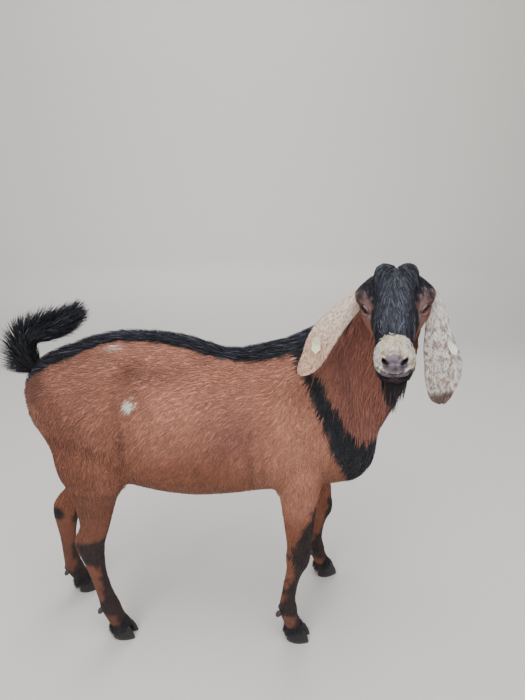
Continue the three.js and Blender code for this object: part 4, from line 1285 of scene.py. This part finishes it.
def crest():
    """Black hair that stands up a little along the stripe, from the rump to the top of the neck."""
    n = some("crest")
    u = spread(0.5, 14.6, n)
    row = catmull(TRUNK_ROWS, u)
    width = steps_at(row[:, 0], STRIPE) * 0.95
    offset = np.clip(rng.normal(size=n) * 0.5, -1, 1) * width
    v = np.arcsin(np.clip(offset / row[:, 6], -0.9, 0.9))
    length = spread(38, 66, n)
    rise = spread(8, 20, n) * (1 - 0.6 * np.abs(offset / width)) * (1 - 0.3 * smooth(7.5, 9.5, u))
    way = body_way(trunk.at(u, v)[0]) * (1, 1, 0.3)
    way[:, 0] -= 0.5
    way[u > 10] = -trunk.along(u[u > 10])
    spine, out = follow(trunk.at, u, v, way + rng.normal(size=(n, 3)) * 0.16, length, 4, rise, 2)
    long_hair("crest", "black_coat", spine, out, spread(1.9, 3.3, n), spread(0.8, 1.2, n), dark_mix(n, 0.45),
              np.stack([u, v], 1), tip=1.35)


def neck_hair():
    """Longer hair that hangs from the sides and front of the neck."""
    n = some("neck")
    u = spread(9.3, 14.8, n)
    v = math.pi + np.clip(rng.normal(size=n) * 1.0, -2.4, 2.4)
    way = np.tile([-0.16, -0.05, -1.0], (n, 1)) + rng.normal(size=(n, 3)) * 0.12
    spine, out = follow(trunk.at, u, v, way, spread(30, 54, n), 4, spread(2, 7, n) + 4 * smooth(11, 14, u), 2)
    long_hair("neck_hair", "bay_coat", spine, out, spread(1.6, 2.7, n), spread(0.6, 0.9, n),
              trunk_colour(spine[:, 0]), np.stack([u, v], 1), tip=1.1, root=0.86, amount=0.1)


def free_spines(root, start, end, length, steps):
    """Spines that leave their roots one way and bend to another."""
    s = np.linspace(0, 1, steps)[None, :, None]
    knee = root + unit(start) * length[:, None] / 2
    tip = knee + unit(end) * length[:, None] / 2
    return root[:, None] * (1 - s) ** 2 + knee[:, None] * 2 * s * (1 - s) + tip[:, None] * s**2


def tail_hair():
    """The raised tail's hair, longest along its rear."""
    n = some("tail")
    u, v = spread(0.1, tail_core.last, n), spread(0, 2 * math.pi, n)
    point, normal = tail_core.at(u, v)
    along = tail_core.along(u)
    behind = (0.5 - 0.5 * np.cos(v)) * (1 - u / 6)
    before = (0.5 + 0.5 * np.cos(v)) * smooth(0.2, 1.0, u) * smooth(3.6, 2.2, u)
    start = along * 0.8 + normal * (0.5 + 0.6 * behind)[:, None] + rng.normal(size=(n, 3)) * 0.12
    end = along + normal * (0.1 + 0.8 * behind)[:, None] + rng.normal(size=(n, 3)) * 0.12
    spine = free_spines(point - normal * 2, start, end, spread(34, 56, n) + 18 * behind + 14 * before, 5)
    out = np.broadcast_to(normal[:, None], spine.shape)
    long_hair("tail_hair", "black_coat", spine, out, spread(1.4, 2.7, n), spread(0.6, 1.0, n),
              dark_mix(n, 0.2), np.stack([u, v], 1), tip=1.25)


SKULL_X = np.array([row[0] for row in SKULL_ROWS])


def on_face(x, y, lift):
    """Points and normals over the top of the skull at places along and across the face."""
    shape = x.shape
    u = np.interp(x.ravel(), SKULL_X, np.arange(len(SKULL_X)))
    half = catmull(SKULL_ROWS, u)[:, 6]
    p, n = skull.whole(u, np.arcsin(np.clip(y.ravel() / half, -0.97, 0.97)))
    p = p + n * lift.ravel()[:, None]
    return from_head(p).reshape(*shape, 3), (n @ HEAD_TURN.T).reshape(*shape, 3)


def face_strands(name, x, y, dx, dy, lift, wave, width, steps, colours, **tones):
    """Strands on the face from (x, y) to (x + dx, y + dy), each with lifts on its way and a sideways wave."""
    s = np.linspace(0, 1, steps)[None, :]
    phase = rng.random((len(x), 1)) * 6.3
    sway = wave[:, None] * np.sin(phase + s * 8) * s
    bow = np.sin(s * math.pi)
    rise = (lift[0][:, None] + lift[1][:, None] * bow) * (1 - 0.8 * s**3) - 2.5 * (1 - s) ** 3
    spine, out = on_face(x[:, None] + dx[:, None] * s, y[:, None] + dy[:, None] * s**1.3 + sway, rise)
    long_hair(name, "black_coat", spine, out, width, 0.4 * width, colours, np.stack([x, y], 1), **tones)


def forelock():
    """The crown's hair and the locks that hang from it over the forehead."""
    # Two humps that roll outwards from the parting over the crown
    n = some("crown")
    side = np.where(rng.random(n) < 0.5, -1, 1)
    x, start = spread(-98, -34, n), spread(1, 24, n)
    dy = side * np.minimum(spread(16, 32, n), 46 - start)
    hump = 13 * near(x, -66, 34)
    lift = (2 + hump * near(start, 14, 14), 7 * near(x, -66, 40) + spread(0, 3, n))
    face_strands("forelock_crown", x, 3 + side * start, spread(6, 34, n), dy, lift, spread(0, 2, n),
                 spread(1.6, 2.7, n), 6, dark_mix(n, 0.5), tip=1.35, clumps=0.9)
    # Long locks that fan out from the parting, wave down the forehead and end above the pale muzzle
    n = some("forelock")
    x, y = spread(-62, 66, n), np.clip(rng.normal(size=n) * 16, -34, 34)
    dx = np.minimum(spread(22, 46, n), 103 - x)
    fan = smooth(30, -40, x)
    dy = (0.3 + 0.9 * fan) * y + 7 * np.sin(x / 17 + y / 11) + 5 * rng.normal(size=n)
    dy = np.clip(y + dy, -38, 38) - y
    lift = (2 + 5 * smooth(0, -60, x) + spread(0, 3, n), spread(0, 4, n))
    # The locks carry more painted blue-grey sheen along the middle of the forehead and towards the muzzle.
    middle = smooth(30, 12, np.abs(y))
    wave = 1 + 3 * smooth(0, 60, x) * rng.random(n)
    face_strands("forelock", x, y, dx, dy, lift, wave, spread(1.3, 2.3, n), 7,
                 dark_mix(n, 0.35 + 0.5 * middle + 0.3 * smooth(30, 80, x)), tip=1.4, clumps=1.1)


def muzzle_curls():
    """Short pale curls on the muzzle, between the black of the face and the bare nose."""
    n = some("muzzle")
    x = spread(98, 138, n)
    y = np.clip(rng.normal(size=n) * 20, -35, 35)
    angle = rng.normal(size=n) * 0.7 + 0.03 * y
    length = spread(7, 13, n)
    dx, dy = length * np.cos(angle), length * np.sin(angle)
    ends = on_face(x + dx, y + dy, 0 * x)[0]
    keep = (bare_nose(to_head(ends)) < 0.25) & (x > 99 + 13 * (y / 35) ** 2)
    x, y, dx, dy = x[keep], y[keep], dx[keep], dy[keep]
    n = len(x)
    tan = smooth(0.4, 0.6, noise(np.stack([x, y, 0 * x], 1), 11, 12)) * rng.random(n)
    c = mixed(mixed(np.tile(CREAM, (n, 1)), CREAM_YELLOW, tan), NOSE, 0.5 * (rng.random(n) < 0.15))
    face_strands("muzzle_curls", x, y, dx, dy, (1 + 0 * x, spread(1, 4, n)), spread(0.8, 2.2, n),
                 spread(1.1, 1.9, n), 5, c, root=0.75, amount=0.25, clumps=0.6)


def chin_hair():
    """Short hair over the chin and jaw, and the beard that hangs below it."""
    down = np.array([0.0, 0, -1])
    n = some("chin")
    u, v = spread(7.2, skull.last + 0.9, n), math.pi + np.clip(rng.normal(size=n) * 0.8, -1.6, 1.6)
    h, _ = skull.whole(u, v)
    keep = (h[:, 2] < lip_height(h[:, 0], np.abs(h[:, 1])) - 8) & (bare_nose(h) < 0.4)
    u, v = u[keep], v[keep]
    n = len(u)
    way = np.tile(down + (0.1, 0, 0), (n, 1)) + rng.normal(size=(n, 3)) * 0.25
    spine, out = follow(head_at, u, v, way, spread(10, 19, n), 4, spread(2, 6, n), 1.5)
    long_hair("chin_hair", "black_coat", spine, out, spread(1.4, 2.4, n), spread(0.5, 0.8, n),
              mixed(dark_mix(n, 0.6), BAY_DARK, 0.5 * (rng.random(n) < 0.25)), np.stack([u, v], 1))
    n = some("beard")
    x, y = spread(98, 144, n), np.clip(rng.normal(size=n) * 12, -24, 24)
    root = from_head(np.stack([x, y, -58 + 0 * x], 1))
    end = np.tile(down, (n, 1)) + rng.normal(size=(n, 3)) * (0.1, 0.1, 0)
    end[:, 0] -= y / 90
    length = np.where(rng.random(n) < 0.5, spread(26, 46, n), spread(48, 82, n))
    length = length * (1 - 0.35 * smooth(8, 24, np.abs(y)))
    spine = free_spines(root, np.tile(down, (n, 1)), end, length, 5)
    out = np.broadcast_to(in_space([1.0, 0, 0]), spine.shape)
    c = mixed(dark_mix(n, 0.15), BAY_DARK, (rng.random(n) < 0.14) * 0.7)
    long_hair("beard", "black_coat", spine, out, spread(1.3, 2.3, n), spread(0.5, 0.9, n), c,
              np.stack([x, y], 1), tip=1.0)


LASHES = 26  # on each upper lid


def lashes():
    """Lashes that stand out from the upper lids and bend down."""
    spines = []
    for sign in (1, -1):
        gaze, level, upward = eye_axes(sign)
        for k in np.linspace(-0.75, 0.75, LASHES):
            a = LID["length"] * k
            b = LID["height"] * LID["upper"] * math.sqrt(1 - k * k) + LID["slant"] * a
            outer = level * sign
            root = unit(outer * (a + LID["back"]) + upward * b + gaze * 13) * (EYE_RADIUS + LID["thick"])
            root = root + EYE_AT * (1, sign, 1)
            ways = gaze + upward * 0.1 + outer * 0.5 * k, gaze * 0.5 - upward * 0.6 + outer * 0.7 * k
            spines.append((root, *ways))
    root, start, end = (np.array(part) for part in zip(*spines))
    spine = free_spines(root, start, end, spread(6, 9, len(root)), 4)
    out = np.broadcast_to(np.array([0.0, 0, 1]), spine.shape)
    uv = rng.random((len(root), 2))
    long_hair("lashes", "black_coat", from_head(spine), in_space(out), spread(0.7, 1.0, len(root)),
              spread(0.4, 0.5, len(root)), np.tile(BLACK, (len(root), 1)), uv)


def fetlock_hair():
    """Hair that hangs over the hooves' upper rims."""
    for name, loft in legs.items():
        n = some("fetlock")
        u = np.linspace(loft.last - 3, loft.last, 60)
        u = np.interp(-spread(40, 54, n), -loft.centre(u)[:, 2], u)
        v = spread(0, 2 * math.pi, n)
        point, normal = loft.at(u, v)
        down = np.array([0.0, 0, -1.0])
        start, end = normal * 0.75 + down, normal * 0.12 + down
        start = start + rng.normal(size=(n, 3)) * 0.15
        end = end + rng.normal(size=(n, 3)) * 0.1
        spine = free_spines(point - normal * 1.5, start, end, spread(15, 27, n), 4)
        # Mostly black, with a little painted blue-grey sheen.
        c = mixed(leg_colour(point, name), mixed(BLACK, SLATE_SHEEN, 0.2), 0.75)
        long_hair("fetlock_" + name, "black_coat", spine, np.broadcast_to(normal[:, None], spine.shape),
                  spread(1.5, 2.6, n), spread(0.6, 0.9, n), c, np.stack([u, v], 1), tip=1.1)


for grow_hair in (crest, neck_hair, tail_hair, forelock, muzzle_curls, chin_hair, lashes, fetlock_hair):
    grow_hair()


# Eyes, hooves and tags: how far the cornea bulges out, and the pupil's straight half-length and soft rim as
# shares of the eye's radius
CORNEA = 0.7
PUPIL_HALF, PUPIL_EDGE = 0.34, (0.24, 0.18)


def eyeball(side, sign):
    """An eye with a bulging cornea, a brown iris, a level slot of a pupil, and painted shade beyond the iris.
    """
    gaze, level, upward = eye_axes(sign)
    bm = bmesh.new()
    bmesh.ops.create_uvsphere(bm, u_segments=96, v_segments=72, radius=1)
    d = unit(np.array([v.co for v in bm.verts]))
    off = np.arccos(np.clip(d[:, 2], -1, 1))
    radius = EYE_RADIUS - CORNEA + CORNEA * near(off, 0, 0.75)
    points = (level * d[:, :1] + upward * d[:, 1:2] + gaze * d[:, 2:3]) * radius[:, None]
    put_points(bm, place(from_head(points + EYE_AT * (1, sign, 1))))
    obj = smooth_piece("eyeball_" + side, bm)
    spokes = 0.5 + 0.5 * np.sin(np.arctan2(d[:, 1], d[:, 0]) * 23 + 6 * np.sin(off * 9))
    c = mixed(IRIS, IRIS_LIGHT, 0.6 * spokes * smooth(0.2, 0.6, off))
    # Painted shade over the eye beyond the iris.
    c = mixed(c, EYE_PAINTED_SHADE, smooth(0.6, 0.8, off))
    slot = np.hypot(np.maximum(np.abs(d[:, 0]) - PUPIL_HALF, 0), d[:, 1])
    c = mixed(c, PUPIL, smooth(*PUPIL_EDGE, slot) * (d[:, 2] > 0))
    paint(obj.data, c, np.zeros(len(d)))
    return obj


CLAW_BEVEL, TAG_BEVEL = 2.2, 0.35


def softened(node_name, width, reshape):
    """A merged copy of a node with its sharp edges rounded, and its points moved by reshape."""
    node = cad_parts[node_name]
    bm = bmesh.new()
    bm.from_mesh(node.data)
    bm.transform(node.matrix_world)
    bmesh.ops.remove_doubles(bm, verts=bm.verts, dist=1e-5)
    put_points(bm, place(reshape(np.array([v.co for v in bm.verts]) / MM - SHIFT)))
    sharp = [e for e in bm.edges if e.is_manifold and e.calc_face_angle() > 0.5]
    bmesh.ops.bevel(bm, geom=sharp, offset=width * MM, offset_type="OFFSET", segments=3, profile=0.5,
                    affect="EDGES", clamp_overlap=True, material=-1)
    return smooth_piece(node_name + "_look", bm)


def claw_shape(leg):
    """Claws drawn in towards the pastern at their tops."""
    foot = np.array(LEGS[leg]["path"][-1], float) * (1, 1, 0)

    def reshape(points):
        draw = 1 - 0.14 * smooth(8, 36, points[:, 2:])
        return foot + (points - foot) * np.hstack([draw, draw, draw * 0 + 1])

    return reshape


# Tags: a stud's place along the ear, across it and off it, the turn about it in degrees, and how narrow the
# tag looks beside its solid
TAG_PLACES = {
    "left": dict(t=0.5, offset=17, lift=9, turn=20, narrow=0.76),
    "right": dict(t=0.66, offset=-4, lift=9, turn=25, narrow=0.95),
}


def tag_shape(side, t, offset, lift, turn, narrow):
    """A tag turned about its stud, with its tip standing a little off the ear."""
    ear = ears[side]
    at, axis = curve_at(ear.path, [t])[0], curve_way(ear.path, [t])[0]
    width_way = unit(np.cross(ear.outward, axis))
    out = np.cross(axis, width_way)
    middle = at + width_way * offset + out * lift
    sin, cos = math.sin(math.radians(turn)), math.cos(math.radians(turn))

    def reshape(points):
        d = points - middle
        a, b, c = d @ width_way * narrow, d @ axis, d @ out
        c = c + 0.1 * np.maximum(b, 0) + 0.5
        a, b = a * cos + b * sin, b * cos - a * sin
        return middle + width_way * a[:, None] + axis * b[:, None] + out * c[:, None]

    return reshape


DEWCLAW = dict(deep=7.5, wide=7, tall=12, taper=0.15, lean=0.55, ahead=3)


def nub(leg, node_name):
    """A blunt dewclaw that leans back."""
    forward = toe_way(leg)
    left = np.array([-forward[1], forward[0], 0])
    down = unit(np.array([0.0, 0, -1]) - DEWCLAW["lean"] * forward)
    back = np.cross(left, down)
    bm = bmesh.new()
    bmesh.ops.create_icosphere(bm, subdivisions=3, radius=1)
    d = np.array([v.co for v in bm.verts])
    slim = 1 - DEWCLAW["taper"] * d[:, 2:]
    points = back * d[:, :1] * DEWCLAW["deep"] * slim + left * d[:, 1:2] * DEWCLAW["wide"] * slim
    points = points + down * d[:, 2:] * DEWCLAW["tall"]
    put_points(bm, points * MM + box_middle(node_name) + forward * DEWCLAW["ahead"] * MM)
    return smooth_piece(node_name + "_look", bm)


# Materials
def node_with(tree, kind, **values):
    """A new node of a kind, with values for its inputs."""
    node = tree.nodes.new("ShaderNode" + kind)
    for label, value in values.items():
        node.inputs[label.replace("_", " ")].default_value = value
    return node


def new_group(name, inputs, outputs):
    """A node group with its inputs and their values, its outputs, and the nodes that carry them."""
    group = bpy.data.node_groups.new(name, "ShaderNodeTree")
    for label, value in inputs.items():
        socket = group.interface.new_socket(label, in_out="INPUT", socket_type="NodeSocketFloat")
        socket.default_value = value
    for label in outputs:
        group.interface.new_socket(label, in_out="OUTPUT", socket_type="NodeSocketFloat")
    return group, group.nodes.new("NodeGroupInput"), group.nodes.new("NodeGroupOutput")


def grain_group():
    """Fine and coarse grain over an object: a height for bumps and a value that varies roughness."""
    group, given, result = new_group("grain", {"Scale": 400.0, "Roughness": 0.5, "Change": 0.1},
                                     ("Height", "Roughness"))
    where = node_with(group, "TexCoord")
    fine, coarse = node_with(group, "TexNoise"), node_with(group, "TexNoise", Scale=30)
    for texture in (fine, coarse):
        group.links.new(where.outputs["Object"], texture.inputs["Vector"])
    group.links.new(given.outputs["Scale"], fine.inputs["Scale"])
    change = node_with(group, "Math")
    change.operation = "MULTIPLY_ADD"
    group.links.new(coarse.outputs["Fac"], change.inputs[0])
    group.links.new(given.outputs["Change"], change.inputs[1])
    group.links.new(given.outputs["Roughness"], change.inputs[2])
    group.links.new(fine.outputs["Fac"], result.inputs["Height"])
    group.links.new(change.outputs[0], result.inputs["Roughness"])
    return group


GRAIN = grain_group()


def finish(name, scale, roughness, change, bump, **constants):
    """A material whose roughness and surface carry grain, ready for its colour."""
    material = bpy.data.materials.new(name)
    material.use_nodes = True
    tree = material.node_tree
    shader = tree.nodes["Principled BSDF"]
    for socket, value in constants.items():
        shader.inputs[socket.replace("_", " ")].default_value = value
    grain = node_with(tree, "Group")
    grain.node_tree = GRAIN
    for label, value in (("Scale", scale), ("Roughness", roughness), ("Change", change)):
        grain.inputs[label].default_value = value
    tree.links.new(grain.outputs["Roughness"], shader.inputs["Roughness"])
    relief = node_with(tree, "Bump", Strength=bump, Distance=0.001)
    tree.links.new(grain.outputs["Height"], relief.inputs["Height"])
    tree.links.new(relief.outputs["Normal"], shader.inputs["Normal"])
    return material, tree, shader


def painted(name, scale, roughness, change, bump, **constants):
    """A material that takes its colour from a mesh's own paint."""
    material, tree, shader = finish(name, scale, roughness, change, bump, **constants)
    attribute = node_with(tree, "Attribute")
    attribute.attribute_name = "hair"
    tree.links.new(attribute.outputs["Color"], shader.inputs["Base Color"])
    return material, tree, shader, attribute


def hair_material():
    """Hair with streaks along each tuft."""
    material, tree, shader, attribute = painted("hair", 260, 0.5, 0.15, 0.15, Sheen_Weight=0.06,
                                                Specular_IOR_Level=0.25)
    strand = node_with(tree, "UVMap")
    strand.uv_map = "strand"
    stretch = node_with(tree, "Mapping", Scale=(5, 0.6, 1))
    streak = node_with(tree, "TexNoise", Scale=1.6)
    shade = node_with(tree, "MapRange", From_Min=0.3, From_Max=0.7, To_Min=0.72, To_Max=1.22)
    scale = node_with(tree, "VectorMath")
    scale.operation = "SCALE"
    tree.links.new(strand.outputs["UV"], stretch.inputs["Vector"])
    tree.links.new(stretch.outputs["Vector"], streak.inputs["Vector"])
    tree.links.new(streak.outputs["Fac"], shade.inputs["Value"])
    tree.links.new(attribute.outputs["Color"], scale.inputs[0])
    tree.links.new(shade.outputs["Result"], scale.inputs["Scale"])
    tree.links.new(scale.outputs["Vector"], shader.inputs["Base Color"])
    return material


def skin_material():
    """Skin under the coat, smoother and pebbled where it is bare."""
    material, tree, shader, attribute = painted("skin", 900, 0.6, 0.1, 0.35, Specular_IOR_Level=0.4)
    where = node_with(tree, "TexCoord")
    pebbles = node_with(tree, "TexVoronoi", Scale=420)
    tree.links.new(where.outputs["Object"], pebbles.inputs["Vector"])
    sheen = node_with(tree, "MapRange", To_Min=0.34, To_Max=0.62)
    tree.links.new(attribute.outputs["Alpha"], sheen.inputs["Value"])
    tree.links.new(sheen.outputs["Result"], shader.inputs["Roughness"])
    relief = tree.nodes["Bump"]
    tree.links.new(pebbles.outputs["Distance"], relief.inputs["Height"])
    return material


def banded(name, rgb, edge_rgb, height, ring, roughness, bump):
    """Horn or plastic: a colour that runs into another near the floor, with faint level rings."""
    material, tree, shader = finish(name, 500, roughness, 0.12, bump, Specular_IOR_Level=0.5)
    where = node_with(tree, "TexCoord")
    split = node_with(tree, "SeparateXYZ")
    tree.links.new(where.outputs["Object"], split.inputs["Vector"])
    low = node_with(tree, "MapRange", From_Max=height)
    tree.links.new(split.outputs["Z"], low.inputs["Value"])
    rings = node_with(tree, "TexWave", Scale=ring, Distortion=3)
    rings.bands_direction = "Z"
    tree.links.new(where.outputs["Object"], rings.inputs["Vector"])
    mix = node_with(tree, "Mix")
    mix.data_type = "RGBA"
    mix.inputs["A"].default_value = (*edge_rgb, 1)
    mix.inputs["B"].default_value = (*rgb, 1)
    tree.links.new(low.outputs["Result"], mix.inputs["Factor"])
    shade = node_with(tree, "Mix")
    shade.data_type = "RGBA"
    shade.blend_type = "MULTIPLY"
    shade.inputs["Factor"].default_value = 0.35
    tree.links.new(mix.outputs["Result"], shade.inputs["A"])
    tree.links.new(rings.outputs["Color"], shade.inputs["B"])
    tree.links.new(shade.outputs["Result"], shader.inputs["Base Color"])
    return material


def finished(obj, material, slot, *nodes):
    """Gives a piece its material, and its place in the model where it stands for nodes."""
    obj.data.materials.append(material)
    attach(obj, "root")
    if nodes:
        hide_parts(*nodes)


HAIR = hair_material()
for obj, slot in coat_pieces:
    finished(obj, HAIR, slot)
flesh = ["torso", "neck", "head", "tail", "ear_left", "ear_right"]
flesh += [f"{leg}_{half}" for leg in LEGS for half in ("upper", "lower")]
finished(skin, skin_material(), "bay_coat", *flesh)

# The horn is paler in its lowest centimetre: partly its worn edge, partly a painted highlight near the floor.
HORN = banded("horn", colour(34, 31, 32), colour(72, 66, 64), 0.01, 90, 0.28, 0.2)
NUB = banded("dewclaw", colour(66, 60, 60), colour(66, 60, 60), 0.02, 120, 0.5, 0.3)
TAGS = {
    "left": banded("tag_white", colour(240, 240, 230), colour(240, 240, 230), 0.1, 6, 0.42, 0.12),
    "right": banded("tag_yellow", colour(236, 232, 192), colour(236, 232, 192), 0.1, 6, 0.42, 0.12),
}
EYE = painted("eye", 300, 0.1, 0.02, 0.0, Coat_Weight=0.15, Coat_Roughness=0.03, Specular_IOR_Level=0.3)[0]
for sign, side in ((1, "left"), (-1, "right")):
    tag = "tag_" + side
    finished(eyeball(side, sign), EYE, "eye", "eye_" + side)
    finished(softened(tag, TAG_BEVEL, tag_shape(side, **TAG_PLACES[side])), TAGS[side], "tag", tag)
for leg in LEGS:
    for half in ("inner", "outer"):
        claw, dewclaw = f"{leg}_claw_{half}", f"{leg}_dewclaw_{half}"
        finished(softened(claw, CLAW_BEVEL, claw_shape(leg)), HORN, "horn", claw)
        finished(nub(leg, dewclaw), NUB, "horn", dewclaw)


# Floor, light and camera
def backdrop():
    """A pale round floor that curves up far around the goat, sized in metres."""
    reach, bend, height = 6.5, 3.0, 3.5
    bm = bmesh.new()
    bmesh.ops.create_grid(bm, x_segments=96, y_segments=40, size=0.5)
    for v in bm.verts:
        angle, way = v.co.x * 2 * math.pi, (v.co.y + 0.5) * (reach + math.pi * bend / 2 + height)
        turn = min(max(way - reach, 0) / bend, math.pi / 2)
        radius = min(way, reach) + bend * math.sin(turn)
        rise = bend * (1 - math.cos(turn)) + max(way - reach - math.pi * bend / 2, 0)
        v.co = Vector((radius * math.cos(angle), radius * math.sin(angle), rise))
    bmesh.ops.remove_doubles(bm, verts=bm.verts, dist=1e-4)
    bmesh.ops.recalc_face_normals(bm, faces=bm.faces)
    floor = smooth_piece("floor", bm)
    material, _, shader = finish("stage", 60, 0.85, 0.08, 0.03)
    shader.inputs["Base Color"].default_value = (*colour(214, 210, 204), 1)
    floor.data.materials.append(material)


def lamp(name, at, aim, size, power, tint=(1, 1, 1)):
    light = bpy.data.lights.new(name, "AREA")
    light.energy, light.size, light.color = power, size, tint
    obj = new_object(name, light)
    obj.location = at
    obj.rotation_euler = (Vector(aim) - Vector(at)).to_track_quat("-Z", "Y").to_euler()


backdrop()
lamp("sky", (-0.2, -0.9, 3.8), (0, 0, 0.5), 3.4, 130, (0.93, 0.96, 1.0))
lamp("key", (-1.6, -2.8, 2.6), (0, 0, 0.6), 2.2, 66)
lamp("fill", (2.6, -2.0, 2.0), (0, 0, 0.6), 2.4, 30)
lamp("back", (0.4, 2.6, 2.6), (0, 0, 0.6), 2.2, 40)
lamp("wall", (0, 4.5, 4.5), (0, 9.0, 2.5), 5.0, 300)
world = bpy.data.worlds.new("studio")
world.use_nodes = True
background = world.node_tree.nodes["Background"]
background.inputs["Color"].default_value = (0.9, 0.94, 1.0, 1)
background.inputs["Strength"].default_value = 0.5
bpy.context.scene.world = world

# The camera looks along Y from the goat's right, down and a little to the right, in degrees.
CAMERA_AT = [97, -1168.9, 1220]
CAMERA_DOWN, CAMERA_RIGHT = 19.3, 2.9
LENS, SENSOR = 26.02, 36
camera = new_object("camera", bpy.data.cameras.new("camera"))
camera.data.lens = LENS
camera.data.sensor_width = SENSOR
camera.location = place(CAMERA_AT)
camera.rotation_euler = (math.radians(90 - CAMERA_DOWN), 0, math.radians(-CAMERA_RIGHT))
bpy.context.scene.camera = camera
